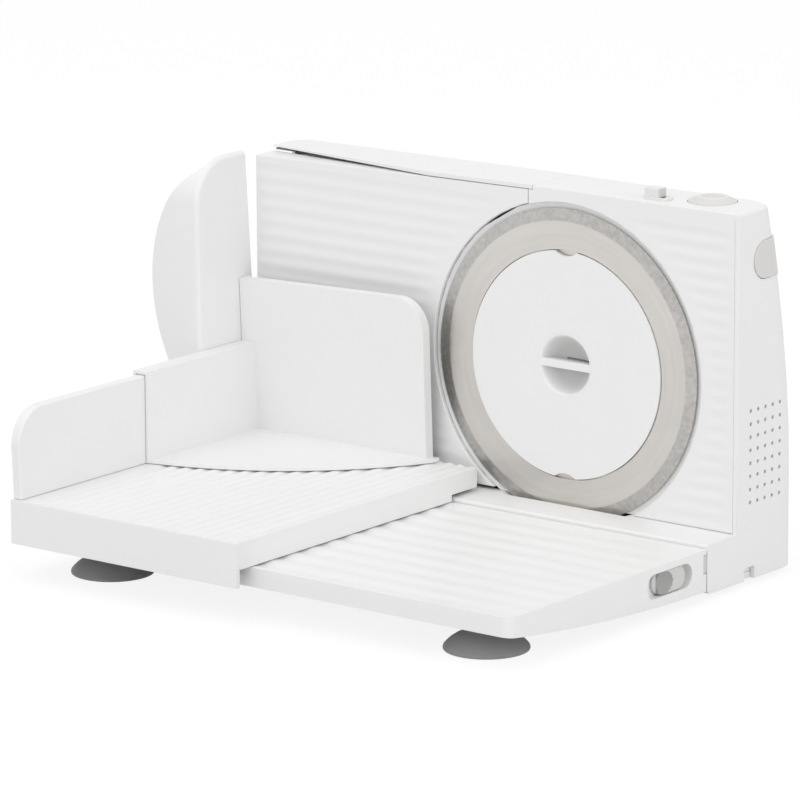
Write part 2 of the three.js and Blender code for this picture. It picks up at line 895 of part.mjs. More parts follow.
function frontPanel() {
  const low = sillHeight + seatGap;
  const high = roofUnder - seatGap;
  const far = right - housingWall - seatGap;
  const sheet = block(panelLeft, far, 0, panelThickness, low, high);
  const ribs = prismX(faceGrooves(low + panelBorder, high - panelBorder), panelLeft - 1, far - panelBorder);
  const smoothBand = rodY(0, bladeAxisHeight, wellRadius + wellWall + plateBandWidth, -big, big, 48);
  const drum = common(
    rodY(0, bladeAxisHeight, wellRadius + wellWall, 0, wellBack, 48),
    block(panelLeft, far, -1, big, low, high),
  );
  const floorRadius = bladeRadius - wellFloorGap;
  const floor = rodY(0, bladeAxisHeight, floorRadius, wellFloorFront - 1, wellBack, 48);
  const bushOuter = shaftRadius + runningGap + shaftBushWall;
  const bossRadius = bushOuter + seatGap + bushBossWall;
  const boss = rodY(0, bladeAxisHeight, bossRadius, wellFloorFront, wellFloorFront + shaftBushLength);
  const guardRing = common(
    tubeY(
      0,
      bladeAxisHeight,
      wellRadius - guardRingWidth,
      wellRadius,
      bladeThickness + bevelBack + guardRingGap,
      wellFloorFront + 1,
      48,
    ),
    block(-big, far, -1, big, low, high),
  );
  const well = cut(
    join(cut(sheet, cut(ribs, smoothBand)), drum, floor, boss),
    rodY(0, bladeAxisHeight, wellRadius, -big, wellFloorFront, 48),
  );
  return cut(
    join(well, guardRing),
    rodY(0, bladeAxisHeight, bushOuter + seatGap, -1, big),
    slideFootWay(),
  );
}

piece('front_panel', frontPanel(), whitePlastic);

function shaftBush(y0, y1) {
  const inner = shaftRadius + runningGap;
  return tubeY(0, bladeAxisHeight, inner, inner + shaftBushWall, y0, y1);
}

piece('shaft_bush_front', shaftBush(wellFloorFront, wellFloorFront + shaftBushLength), bronze);

// Blade, disc, lock and hub, all on the blade's axis

function blade() {
  const step = discRadius + 1;
  const back = discThickness - discProud + seatGap;
  const profile = [
    [lockRadius + 2 * seatGap, back],
    [step, back],
    [step + 0.5, 0],
    [bladeRadius - bevelWidth, 0],
    [bladeRadius, edgeSetback],
    [bladeRadius, edgeSetback + edgeThickness],
    [bladeRadius - bevelWidth, bladeThickness + bevelBack],
    [step + bladeThickness + 0.5, bladeThickness],
    [step + bladeThickness, back + bladeThickness],
    [lockRadius + 2 * seatGap, back + bladeThickness],
    [lockRadius + 2 * seatGap, back],
  ];
  return turnedY(profile, 0, bladeAxisHeight, 60);
}

piece('blade', blade(), bladeSteel);

function bladeDisc() {
  const disc = rodY(0, bladeAxisHeight, discRadius, -discProud, discThickness - discProud, 48);
  const half = discNotchWidth / 2;
  const notchRadius = (half * half + discNotchDepth * discNotchDepth) / (2 * discNotchDepth);
  const notchMiddle = discRadius - discNotchDepth + notchRadius;
  const notches = [1, -1].map((side) =>
    rodY(0, bladeAxisHeight + side * notchMiddle, notchRadius, -big, big, 32));
  return cut(disc, ...notches, rodY(0, bladeAxisHeight, lockRadius + seatGap, -big, big, 32));
}

piece('blade_disc', bladeDisc(), whitePlastic);

function bladeLock() {
  const front = -discProud;
  const dishRadius = lockRadius - lockRim;
  const dish = [[0, front - 1], [dishRadius, front - 1], [dishRadius, front]];
  const steps = 4;
  for (let k = 1; k <= steps; k += 1) {
    const angle = (k / steps) * (Math.PI / 2);
    dish.push([dishRadius * Math.cos(angle), front + dishDepth * Math.sin(angle)]);
  }
  const cup = rodY(0, bladeAxisHeight, lockRadius, front, front + lockDepth, 32);
  const half = gripWidth / 2;
  const bar = block(
    -lockRadius,
    lockRadius,
    front + gripSetback,
    front + lockDepth,
    bladeAxisHeight - half,
    bladeAxisHeight + half,
  );
  return join(cut(cup, turnedY(dish, 0, bladeAxisHeight, 32)), common(bar, cup));
}

piece('blade_lock', bladeLock(), whitePlastic);

const hubFront = discThickness - discProud + seatGap + bladeThickness + seatGap;
const shaftEnd = gearPlane + gearWidth / 2 + caseGap + casePlate + shaftBushWall * 2;

function bladeHub() {
  const cupFloor = lockDepth - discProud + seatGap;
  const profile = [
    [0, cupFloor],
    [lockRadius + seatGap, cupFloor],
    [lockRadius + seatGap, hubFront],
    [hubRadius, hubFront],
    [hubRadius, hubFront + hubThickness - 1],
    [shaftRadius, hubFront + hubThickness - 1],
    [shaftRadius, shaftEnd],
    [0, shaftEnd],
  ];
  return turnedY(profile, 0, bladeAxisHeight, 32);
}

piece('blade_hub', bladeHub(), darkPlastic);

// Worm gear: a wheel on the blade's shaft and a worm on the motor's shaft

const toothPitch = (2 * Math.PI * gearPitchRadius) / gearTeeth;
const leadAngle = Math.atan(toothPitch / (2 * Math.PI * wormPitchRadius));

function driveGear() {
  const shape = new THREE.Shape();
  const tip = gearPitchRadius + toothDepth;
  const root = gearPitchRadius - toothDepth - runningGap;
  const step = (2 * Math.PI) / gearTeeth;
  for (let k = 0; k < gearTeeth; k += 1) {
    const middle = -Math.PI / 2 + k * step;
    for (const [share, radius] of [[-0.72, root], [-0.36, tip], [0.36, tip], [0.72, root]]) {
      const angle = middle + share * toothShare * step;
      const x = radius * Math.cos(angle);
      const z = radius * Math.sin(angle);
      if (k === 0 && share === -0.72) {
        shape.moveTo(x, z);
      } else {
        shape.lineTo(x, z);
      }
    }
  }
  const geometry = new THREE.ExtrudeGeometry(shape, { depth: gearWidth, bevelEnabled: false });
  const position = geometry.attributes.position;
  for (let k = 0; k < position.count; k += 1) {
    const along = position.getZ(k) - gearWidth / 2;
    const turn = (along * Math.tan(leadAngle)) / gearPitchRadius;
    const x = position.getX(k);
    const y = position.getY(k);
    position.setX(k, x * Math.cos(turn) - y * Math.sin(turn));
    position.setY(k, x * Math.sin(turn) + y * Math.cos(turn));
  }
  geometry.rotateX(Math.PI / 2);
  geometry.translate(0, gearPlane + gearWidth / 2, bladeAxisHeight);
  return cut(solid(geometry), rodY(0, bladeAxisHeight, shaftRadius + seatGap, -big, big));
}

piece('drive_gear', driveGear(), gearPlastic);

function worm() {
  const core = wormPitchRadius - toothDepth - runningGap;
  const crest = wormPitchRadius + toothDepth;
  const steps = 10;
  const sections = [];
  const start = -(wormThreadTurns * toothPitch) / 2;
  for (let k = 0; k <= wormThreadTurns * steps; k += 1) {
    const angle = (2 * Math.PI * k) / steps + Math.PI / 2 + Math.PI * (wormThreadTurns + 1);
    const middle = start + (k / steps) * toothPitch;
    const foot = 0.72 * toothShare * toothPitch;
    const head = 0.36 * toothShare * toothPitch;
    const section = [[core - 1, foot], [crest, head], [crest, -head], [core - 1, -foot]];
    sections.push(section.map(([radius, along]) => new THREE.Vector3(
      middle + along,
      gearPlane + radius * Math.cos(angle),
      motorAxisZ + radius * Math.sin(angle),
    )));
  }
  const thread = chain(sections, false);
  const half = wormLength / 2;
  return join(
    rodX(gearPlane, motorAxisZ, core, -half, half, 13),
    thread,
    rodX(gearPlane, motorAxisZ, motorShaftRadius, half - 1, motorFront - motorBossLength - seatGap, 16),
  );
}

piece('worm', worm(), steel);

function motor() {
  const back = motorFront + motorLength;
  const profile = [
    [0, motorFront - motorBossLength],
    [motorBossRadius, motorFront - motorBossLength],
    [motorBossRadius, motorFront],
    [motorRadius - 1.5, motorFront],
    [motorRadius, motorFront + 1.5],
    [motorRadius, back - 1.5],
    [motorRadius - 1.5, back],
    [motorBossRadius, back],
    [motorBossRadius, back + motorBossLength],
    [0, back + motorBossLength],
  ];
  const geometry = turned(profile, 24);
  geometry.rotateZ(-Math.PI / 2);
  geometry.translate(0, gearPlane, motorAxisZ);
  return solid(geometry);
}

piece('motor', motor(), motorSteel);

function motorCradle() {
  const low = floorLevel + bottomThickness + seatGap;
  const x0 = motorFront + cradleInset;
  const x1 = motorFront + motorLength - cradleInset;
  const y0 = gearPlane - cradleWidth / 2;
  const y1 = gearPlane + cradleWidth / 2;
  const top = motorAxisZ - cradleTopGap;
  const arms = cut(
    block(x0, x1, y0, y1, low, top),
    block(x0 + cradleThickness, x1 - cradleThickness, -big, big, low + cradleFoot, big),
  );
  return cut(arms, rodX(gearPlane, motorAxisZ, motorRadius + seatGap, -big, big, 32));
}

piece('motor_cradle', motorCradle(), innerPlastic);

function gearCase() {
  const front = gearPlane + gearWidth / 2 + caseGap;
  const bushOuter = shaftRadius + runningGap + shaftBushWall;
  const back = front + casePlate + shaftBushWall * 2;
  const high = bladeAxisHeight + caseAbove;
  const low = bladeAxisHeight - caseBelow;
  const half = caseHalfWidth;
  const corner = casePostRadius + 1;
  let body = join(
    prismY(roundedRectangle(-half, half, low, high, corner), front, front + casePlate, 2),
    rodY(0, bladeAxisHeight, bushOuter + seatGap + bushBossWall, front, back),
  );
  const posts = [
    [-half + corner, high - corner],
    [half - corner, high - corner],
    [-half + corner, low + corner],
  ];
  for (const [x, z] of posts) {
    body = join(body, rodY(x, z, casePostRadius, wellBack + seatGap, front + 1, 16));
  }
  const motorTop = motorAxisZ + motorRadius + caseGap;
  return cut(
    body,
    rodY(0, bladeAxisHeight, bushOuter + seatGap, front - 1, big),
    block(motorFront - motorBossLength - caseGap, big, front - 1, big, 0, motorTop),
  );
}

piece('gear_case', gearCase(), innerPlastic);
const caseFront = gearPlane + gearWidth / 2 + caseGap;
piece('shaft_bush_rear', shaftBush(caseFront, caseFront + casePlate + shaftBushWall * 2), bronze);

// Stop plate: ribbed, cut round the blade, with a wedge-shaped flange on top

const plateRight = panelLeft - plateSeamGap;
const plateLow = sillHeight + plateBottomGap;
const plateHighRight = coverTopAt(plateRight) - coverWall - plateTopGap;
const plateHighAt = (x) => plateHighRight - (plateFall * (plateRight - x)) / (plateRight - left);

function stopPlate() {
  const face = outline([
    [left, plateLow],
    [plateRight, plateLow],
    [plateRight, plateHighAt(plateRight)],
    [left, plateHighAt(left)],
  ]);
  const sheet = prismY(face, 0, panelThickness);
  const ribTop = plateHighAt(left) - 3;
  const ribs = prismX(faceGrooves(plateLow + 2, ribTop), left - 1, plateRight + 1);
  const smoothBand = rodY(0, bladeAxisHeight, plateArc + plateBandWidth, -big, big, 48);
  const wedge = common(
    prismY(
      outline([
        [left, plateHighAt(left) - flangeThickness],
        [plateRight, plateHighAt(plateRight) - flangeThickness],
        [plateRight, plateHighAt(plateRight)],
        [left, plateHighAt(left)],
      ]),
      0,
      big,
    ),
    prismZ(
      outline([
        [left, 0],
        [coverCutStart, 0],
        [coverCutStart, panelThickness],
        [left, coverCutDepth + flangeOverlap],
      ]),
      0,
      big,
    ),
  );
  const flangeLeft = left + housingWall + runningGap;
  const side = block(
    flangeLeft,
    flangeLeft + flangeThickness,
    0,
    sideFlangeDepth,
    plateLow + plateBottomGap,
    housingHeight - coverSkirt - plateBottomGap,
  );
  const rodSeats = [[upperRodX, upperRodZ], [lowerRodX, lowerRodZ], [postX, postZ]];
  let body = join(cut(sheet, cut(ribs, smoothBand)), wedge, side);
  for (const [x, z] of rodSeats) {
    body = join(body, rodY(x, z, rodRadius + rodBossWall, 1, panelThickness + 4, 16));
  }
  for (const [x, z] of rodSeats) {
    body = cut(body, rodY(x, z, rodRadius + seatGap, panelThickness, big, 16));
  }
  return cut(body, rodY(0, bladeAxisHeight, plateArc, -big, big, 72));
}

piece('stop_plate', stopPlate(), whitePlastic);

for (const [name, x, z] of [['upper', upperRodX, upperRodZ], ['lower', lowerRodX, lowerRodZ]]) {
  const start = panelThickness + seatGap;
  const inner = rodRadius + runningGap;
  piece(`guide_rod_${name}`, rodY(x, z, rodRadius, start, start + rodLength, 16), steel);
  const bush = tubeY(x, z, inner, inner + rodBushWall, rodBossFront, rodBossFront + rodBushLength, 16);
  piece(`rod_bush_${name}`, bush, bronze);
}

// Dial and cam. The cam's ramp falls back as the dial turns, and the post follows it.

const camRear = rearInner - camBack;
const rampStart = camRear - camLand - plateTravel;
const postHalfAngle = Math.asin((postRadius + runningGap) / camMiddle) / degrees;

function rampAt(angle) {
  const along = Math.min(Math.max(angle, 0), camSweep);
  return rampStart + (plateTravel * along) / camSweep;
}

function thicknessCam() {
  const sections = [];
  const at = (angle) => {
    const turn = (90 - postHalfAngle + angle) * degrees;
    const front = rampAt(angle);
    const section = [[camInner, front], [camOuter, front], [camOuter, camRear], [camInner, camRear]];
    return section.map(([radius, y]) => new THREE.Vector3(
      dialX + radius * Math.cos(turn),
      y,
      dialZ + radius * Math.sin(turn),
    ));
  };
  for (let k = 0; k <= camSteps; k += 1) {
    sections.push(at((camSweep * k) / camSteps));
  }
  for (const angle of [camSweep + 20, camSweep + 40]) {
    sections.push(at(angle));
  }
  const ramp = chain(sections, true);
  return join(
    ramp,
    cut(
      rodY(dialX, dialZ, camInner + 1, camRear - camLand, camRear, 30),
      rodY(dialX, dialZ, dialShaftRadius + seatGap, -big, big),
    ),
  );
}

piece('thickness_cam', thicknessCam(), innerPlastic);
piece('cam_post', rodY(postX, postZ, postRadius, panelThickness + seatGap, rampStart - seatGap, 16), steel);

function thicknessDial() {
  const front = rearDepth + runningGap;
  const profile = [
    [0, front],
    [dialRadius, front],
    [dialRadius, front + dialThickness - 3],
    [dialRadius - 3, front + dialThickness],
    [0, front + dialThickness],
  ];
  let body = turnedY(profile, dialX, dialZ, 48);
  const grips = [];
  for (let k = 0; k < dialGrips; k += 1) {
    const angle = (2 * Math.PI * k) / dialGrips;
    const x = dialX + (dialRadius + dialGripRadius / 2) * Math.cos(angle);
    const z = dialZ + (dialRadius + dialGripRadius / 2) * Math.sin(angle);
    grips.push(rodY(x, z, dialGripRadius, front + 2, big, 6));
  }
  body = cut(body, join(...grips));
  return join(body, rodY(dialX, dialZ, dialShaftRadius, camRear - camLand, front + 1, 20));
}

piece('thickness_dial', thicknessDial(), greyPlastic);

// Slide switch and its bezel, on the roof

const bezelLow = housingHeight + seatGap;
const bezelHigh = bezelLow + bezelThickness;

function switchBezel() {
  const x0 = slideX - bezelMargin;
  const x1 = slideX + slideLength + bezelTail;
  const shape = roundedRectangle(x0, x1, slideY - bezelMargin, slideY + slideDepth + bezelMargin, 3.5);
  return cut(prismZ(shape, bezelLow, bezelHigh, 3), slideSlot(0, big));
}

piece('switch_bezel', switchBezel(), greyPlastic);

function slideSwitch() {
  const low = bezelHigh + seatGap;
  const stemX = slideX + (slideLength - slideStem) / 2;
  const stemY = slideY + (slideDepth - slideStemDepth) / 2;
  const foot = roofUnder - runningGap;
  const thumb = roundedRectangle(slideX, slideX + slideLength, slideY, slideY + slideDepth, 1);
  return join(
    prismZ(thumb, low, low + slideBlockHeight, 1),
    block(stemX, stemX + slideStem, stemY, stemY + slideStemDepth, foot - slideFoot, low + 1),
    block(slideX, slideX + slideLength, slideY, slideY + slideDepth, foot - slideFoot, foot),
  );
}

piece('slide_switch', slideSwitch(), greyPlastic);

// Push button with a shallow dish, and its spring

const blockTop = roofUnder - blockDrop;
const buttonLow = roofUnder - buttonSkirt;

function pushButton() {
  const top = housingHeight + buttonProud;
  const pocket = springRadius + springWire + pocketGap;
  const flange = buttonRadius + buttonFlange;
  const profile = [
    [0, buttonLow + pocketDepth],
    [pocket, buttonLow + pocketDepth],
    [pocket, buttonLow],
    [flange, buttonLow],
    [flange, roofUnder - seatGap],
    [buttonRadius, roofUnder - seatGap],
    [buttonRadius, top - 0.6],
    [buttonRadius - 0.8, top],
    [buttonRadius - buttonRim, top],
    [buttonRadius - buttonRim - 1, top - buttonDish],
    [0, top - buttonDish],
  ];
  return turnedZ(profile, buttonX, buttonY, 24);
}

piece('push_button', pushButton(), greyPlastic);

function pushSpring() {
  const low = blockTop + seatGap;
  const high = buttonLow + pocketDepth - seatGap;
  return coil('push_button_spring', springRadius, springWire, high - low, springTurns)
    .translate([buttonX, buttonY, low]);
}

piece('push_button_spring', pushSpring(), steel);

// Side button: a D-shaped pad that follows the rounded corner, with a flange inside the wall

const sideInner = right + sideProud - sideLength;
const sideMiddleY = (sideFront + sideRear) / 2;
const sideMiddleZ = (sideBottom + sideTop) / 2;

function sideButton() {
  const skinLow = sideBottom - sideSkinMargin;
  const skinHigh = sideTop + sideSkinMargin;
  const skin = housingBody(-sideProud, skinLow, skinHigh, -1, false);
  const wallInside = right - housingWall - runningGap;
  const pocket = springRadius + springWire + pocketGap;
  const inside = housingBody(housingWall + runningGap, skinLow, skinHigh, -1, false);
  const body = join(
    common(prismX(sideShape(0), sideInner, big), skin),
    common(prismX(sideShape(sideFlange), wallInside - 2, wallInside), inside),
  );
  return cut(body, rodX(sideMiddleY, sideMiddleZ, pocket, sideInner - 1, sideInner + pocketDepth - 1, 16));
}

piece('side_button', sideButton(), greyPlastic);

function sideSpring() {
  const low = blockRight + seatGap;
  const high = sideInner + pocketDepth - 1 - seatGap;
  return coil('side_button_spring', springRadius, springWire, high - low, springTurns)
    .rotate([0, 90, 0])
    .translate([low, sideMiddleY, sideMiddleZ]);
}

piece('side_button_spring', sideSpring(), steel);

function switchBlock() {
  const low = blockTop - blockHeight;
  const roof = roofUnder - seatGap;
  return join(
    block(blockLeft, blockRight, blockFront, blockRear, low, blockTop),
    block(blockLeft, blockLeft + blockPost, blockFront + blockPost, blockRear - blockPost, low, roof),
    block(blockRight - blockPost, blockRight, blockFront + blockPost, blockRear - blockPost, low, roof),
  );
}

piece('switch_block', switchBlock(), darkPlastic);

// Base: a ribbed tray that hangs on the sill's hinge lugs

const baseUnder = baseHeight - baseTopThickness;
const baseFrontY = -baseFront;
const baseRearY = -baseRear;

function baseSkirt() {
  return new THREE.QuadraticBezierCurve(
    V2(baseRearY, baseHeight - baseRearDrop),
    V2(-baseCurveAt, baseHeight - baseCurveDrop),
    V2(baseFrontY, baseHeight - baseFrontDrop),
  );
}

const sliderRear = -latchRear - latchRearGap;
const sliderFront = sliderRear - latchLength;
const stemFront = sliderFront + (latchLength - latchStem) / 2;
const springSeatY = boltFront - latchTravel - latchSpringRoom;

function obround(u0, u1, v0, v1) {
  const radius = (v1 - v0) / 2;
  const shape = new THREE.Shape();
  shape.absarc(u1 - radius, v0 + radius, radius, -Math.PI / 2, Math.PI / 2);
  shape.absarc(u0 + radius, v0 + radius, radius, Math.PI / 2, 1.5 * Math.PI);
  return shape;
}

function basePlate() {
  const side = new THREE.Shape();
  side.moveTo(baseFrontY, baseHeight);
  const skirt = baseSkirt().getPoints(8).reverse();
  skirt.forEach((p) => side.lineTo(p.x, p.y));
  side.lineTo(baseRearY, baseHeight);
  const plan = roundedRectangle(left, right, baseFrontY, baseRearY + baseCorner * 2, baseCorner);
  let body = common(prismX(side, left, right), prismZ(plan, 0, big, 2));
  body = cut(
    body,
    block(left + baseWall, right - baseWall, baseFrontY + baseWall, baseRearY - baseWall, 0, baseUnder),
    prismX(
      outline(
        grooves(
          baseFrontY,
          baseRearY - baseRibRear,
          baseFrontY + baseRibFront,
          baseRibPitch,
          baseRibHeight,
          baseHeight,
          1,
        ),
      ),
      left + baseRibBorder,
      right - baseRibBorder,
    ),
  );
  for (const x of lugPlaces()) {
    for (const sideSign of [-1, 1]) {
      const near = x + sideSign * (lugWidth / 2 + runningGap);
      const far = near + sideSign * knuckleWidth;
      const knuckle = block(
        Math.min(near, far),
        Math.max(near, far),
        hingeY - lugRadius,
        baseRearY,
        hingeHeight - lugRadius,
        baseUnder + 1,
      );
      body = join(body, knuckle);
    }
    const half = lugWidth / 2 + runningGap;
    const reach = half + knuckleWidth + 1;
    body = cut(
      body,
      block(x - half, x + half, hingeY - lugRadius - hingeGap, 0, 0, baseUnder),
      rodX(hingeY, hingeHeight, pinRadius + seatGap, x - reach, x + reach, 12),
    );
  }
  for (const x of [left + suctionInset, right - suctionInset]) {
    const low = suctionHeight + seatGap;
    const boss = rodZ(x, baseFrontY + suctionSetback, suctionBossRadius, low, baseUnder + 1, 16);
    body = join(body, boss);
  }
  const pocket = block(
    latchFloor - baseWall,
    right - baseWall + 1,
    -latchFront - baseWall,
    -latchRear + baseWall,
    latchBottom - baseWall,
    baseUnder + 1,
  );
  const seat = block(
    boltInner,
    right - baseWall + 1,
    springSeatY - baseWall,
    springSeatY,
    latchBottom,
    baseUnder + 1,
  );
  body = join(body, common(pocket, prismX(side, left, right)), seat);
  const z0 = latchMiddle - latchStemHeight / 2 - runningGap;
  return cut(
    body,
    prismX(obround(-latchFront, -latchRear, latchBottom, latchTop), latchFloor, big, 5),
    block(
      latchFloor - baseWall - 1,
      latchFloor + 1,
      stemFront - latchTravel - runningGap,
      stemFront + latchStem + runningGap,
      z0,
      z0 + latchStemHeight + 2 * runningGap,
    ),
    block(
      boltInner - runningGap,
      boltOuter + runningGap,
      baseRearY - baseWall - 1,
      0,
      boltLow - runningGap,
      boltLow + boltHeight + runningGap,
    ),
    block(tabLeft - hingeGap, big, baseRearY - tabDepth, 0, tabBottom - hingeGap, tabTop + hingeGap),
  );
}

piece('base_plate', basePlate(), whitePlastic);

lugPlaces().forEach((x, k) => {
  const half = lugWidth / 2 + runningGap + knuckleWidth;
  const side = ['left', 'right'][k];
  piece(`hinge_pin_${side}`, rodX(hingeY, hingeHeight, pinRadius, x - half, x + half, 16), steel);
});

const tabRear = -sillDepth - seatGap;
piece(
  'hinge_tab_right',
  block(tabLeft, right - seatGap, tabRear - tabDepth + hingeGap, tabRear, tabBottom, tabTop),
  darkPlastic,
);

// Suction feet: rubber cups with a flat lip on the table

for (const [name, x] of [['left', left + suctionInset], ['right', right - suctionInset]]) {
  const cupTop = suctionHeight - 4;
  const profile = [
    [0, cupTop - 3],
    [suctionNeck + 1, cupTop - 3],
    [suctionRadius - suctionLip, 0],
    [suctionRadius - 1, 0],
    [suctionRadius, 1.2],
    [suctionRadius - 1, 3],
    [suctionShoulder, suctionShoulderHeight],
    [suctionNeck, cupTop],
    [suctionNeck, suctionHeight],
    [0, suctionHeight],
  ];
  piece(`suction_foot_${name}`, turnedZ(profile, x, baseFrontY + suctionSetback, 28), rubber);
}

// Latch: a slider in the base's side, its bolt and spring

function latchSlider() {
  const z0 = latchBottom + runningGap;
  const z1 = latchTop - runningGap;
  const face = right - latchProud;
  const pad = prismX(
    obround(sliderFront, sliderRear, z0, z1),
    latchFloor + runningGap,
    face,
    5,
  );
  const stem = block(
    boltOuter + seatGap,
    latchFloor + 1,
    stemFront,
    stemFront + latchStem,
    latchMiddle - latchStemHeight / 2,
    latchMiddle + latchStemHeight / 2,
  );
  const dimple = rodX(sliderFront + (z1 - z0) / 2 + 0.5, latchMiddle, latchDimple - 1, face - 1.4, big, 24);
  return cut(join(pad, stem), dimple);
}

piece('latch_slider', latchSlider(), greyPlastic);

piece(
  'latch_bolt',
  block(boltInner, boltOuter, boltFront, boltRear, boltLow, boltLow + boltHeight),
  darkPlastic,
);

function latchSpring() {
  const height = boltFront - springSeatY - 2 * seatGap;
  return coil('latch_spring', latchSpringRadius, springWire, height, springTurns)
    .rotate([-90, 0, 0])
    .translate([(boltInner + boltOuter) / 2, springSeatY + seatGap, latchMiddle]);
}

piece('latch_spring', latchSpring(), steel);

// Carriage: a ribbed tray with an apron in front

const carriageFrontY = baseFrontY - carriageOverhang;
const carriageRearY = -carriageRear;
const fenceLeft = left + fenceInset;
const fenceRight = fenceLeft + fenceThickness;
const fenceLow = carriageTop + seatGap;
const fenceFrontY = carriageFrontY + fenceFrontInset;
const fenceRearY = carriageRearY - fenceRearInset;

function fenceScrewPlaces() {
  const x = (fenceLeft + fenceRight) / 2;
  return [['front', x, fenceFrontY + fenceScrewInset], ['rear', x, fenceRearY - fenceScrewInset]];
}

function carriageBody() {
  const under = carriageTop - carriageWall;
  const skirtRear = baseRearY - skirtSetback;
  const skirtBottom = baseHeight + runningGap;
  let body = join(
    block(left, carriageRight, carriageFrontY, carriageRearY, carriageBottom, carriageTop),
    block(left, carriageRight, carriageFrontY, skirtRear, skirtBottom, carriageTop),
    block(left, carriageRight, carriageFrontY, carriageFrontY + carriageWall, apronBottom, carriageTop),
  );
  body = cut(
    body,
    block(
      left + carriageWall,
      carriageRight - carriageWall,
      carriageFrontY + carriageWall,
      carriageRearY - carriageWall,
      0,
      under,
    ),
    prismY(
      outline(
        grooves(
          fenceRight + carriageRibLeft,
          carriageRight,
          carriageRight - carriageRibSide,
          carriageRibPitch,
          carriageRibHeight,
          carriageTop,
          1,
        ),
      ),
      carriageFrontY + carriageRibFront,
      carriageRearY - carriageRibRear,
    ),
  );
  for (const [, x, y] of fenceScrewPlaces()) {
    body = cut(body, rodZ(x, y, fenceScrewRadius + seatGap, 0, big, 12));
  }
  return body;
}

piece('carriage', carriageBody(), whitePlastic);

// Runner behind the apron: it rests on the base's front edge and hooks under it

function carriageRunner() {
  const x0 = left + carriageWall + runnerInset;
  const x1 = carriageRight - carriageWall - runnerInset;
  const top = carriageTop - carriageWall - seatGap;
  const front = carriageFrontY + carriageWall + seatGap;
  const face = baseFrontY - runnerGap;
  const wall = face - runnerWall;
  const inner = baseFrontY + runnerHookDepth;
  const hookTop = baseHeight - baseFrontDrop - runnerGap;
  const hookLow = hookTop - runnerHookHeight;
  const rest = baseHeight + seatGap;
  const shape = outline([
    [front, top],
    [front, rest],
    [wall, rest],
    [wall, hookLow],
    [inner, hookLow],
    [inner, hookTop],
    [face, hookTop],
    [face, rest],
    [inner, rest],
    [inner, top],
  ]);
  return prismX(shape, x0, x1);
}

piece('carriage_runner', carriageRunner(), innerPlastic);

const padPlaces = [
  ['left', left + carriageWall + runnerInset],
  ['right', carriageRight - carriageWall - runnerInset - padLength],
];
for (const [name, x] of padPlaces) {
  const y = -padSetback;
  const top = carriageTop - carriageWall - seatGap;
  const body = block(x, x + padLength, y, y + padWidth, baseHeight + seatGap, top);
  piece(`slide_pad_${name}`, body, innerPlastic);
}

function fenceBody() {
  const high = fenceLow + fenceHeight;
  const shape = new THREE.Shape();
  shape.moveTo(fenceFrontY, fenceLow);
  shape.lineTo(fenceRearY, fenceLow);
  shape.lineTo(fenceRearY, high);
  shape.lineTo(fenceFrontY + fenceCorner, high);
  shape.absarc(fenceFrontY + fenceCorner, high - fenceCorner, fenceCorner, Math.PI / 2, Math.PI);
  let body = prismX(shape, fenceLeft, fenceRight, 5);
  for (const [, x, y] of fenceScrewPlaces()) {
    body = cut(body, rodZ(x, y, fenceScrewRadius + seatGap, 0, carriageTop + fenceScrewLength, 12));
  }
  return body;
}

piece('fence', fenceBody(), whitePlastic);

for (const [name, x, y] of fenceScrewPlaces()) {
  const under = carriageTop - carriageWall - seatGap;
  const body = join(
    rodZ(x, y, fenceScrewHead, under - fenceScrewHeadHeight, under, 12),
    rodZ(x, y, fenceScrewRadius, under - 1, carriageTop + fenceScrewLength - seatGap, 8),
  );
  piece(`fence_screw_${name}`, body, steel);
}

// Food holder: a sleeve over the fence, a floor on the carriage and a leaning pusher

const sleeveTop = fenceLow + fenceHeight + runningGap + sleeveWall;
const sleeveInner = fenceRight + runningGap + sleeveWall;
const sleeveOuter = fenceLeft - runningGap - sleeveWall;
const holderLow = carriageTop + runningGap;

function leaning(body, angle) {
  return body
    .translate([0, pusherFront, -holderLow])
    .rotate([angle, 0, 0])
    .translate([0, -pusherFront, holderLow]);
}

function holderFloorShape() {
  const a = V2(sleeveInner - sleeveWall, -sleeveFront);
  const b = V2(holderFloorRight, -pusherFront - 1);
  const middle = a.clone().add(b).multiplyScalar(0.5);
  const along = b.clone().sub(a).normalize();
  const pull = V2(along.y, -along.x).multiplyScalar(2 * holderBow).add(middle);
  const shape = new THREE.Shape();
  shape.moveTo(a.x, a.y);
  shape.quadraticCurveTo(pull.x, pull.y, b.x, b.y);
  shape.lineTo(b.x, -pusherFront + pusherThickness - 1);
  shape.lineTo(a.x, -pusherFront + pusherThickness - 1);
  return shape;
}

function foodHolder() {
  const rearY = -pusherFront + pusherThickness;
  const sleeve = cut(
    block(sleeveOuter, sleeveInner, -sleeveFront, rearY, holderLow, sleeveTop),
    block(fenceLeft - runningGap, fenceRight + runningGap, -big, big, 0, sleeveTop - sleeveWall),
  );
  const shape = new THREE.Shape();
  const low = holderLow + 0.5;
  const highRight = holderLow + pusherHeightRight;
  shape.moveTo(sleeveOuter, sleeveTop - sleeveWall);
  shape.lineTo(sleeveInner - sleeveWall, sleeveTop - sleeveWall);
  shape.lineTo(sleeveInner - sleeveWall, low);
  shape.lineTo(pusherRight, low);
  shape.absarc(pusherRight - pusherCorner, highRight - pusherCorner, pusherCorner, 0, Math.PI / 2);
  shape.lineTo(sleeveOuter, holderLow + pusherHeightLeft);
  const pusher = leaning(prismY(shape, -pusherFront, rearY, 5), pusherLean);
  return join(sleeve, prismZ(holderFloorShape(), holderLow, holderLow + holderFloor, 14), pusher);
}

piece('food_holder', foodHolder(), whitePlastic);

// Hand guard: a wall beside the sleeve. Its front edge and rounded corner are bent outwards into
// a lip, which swells into a round lobe.

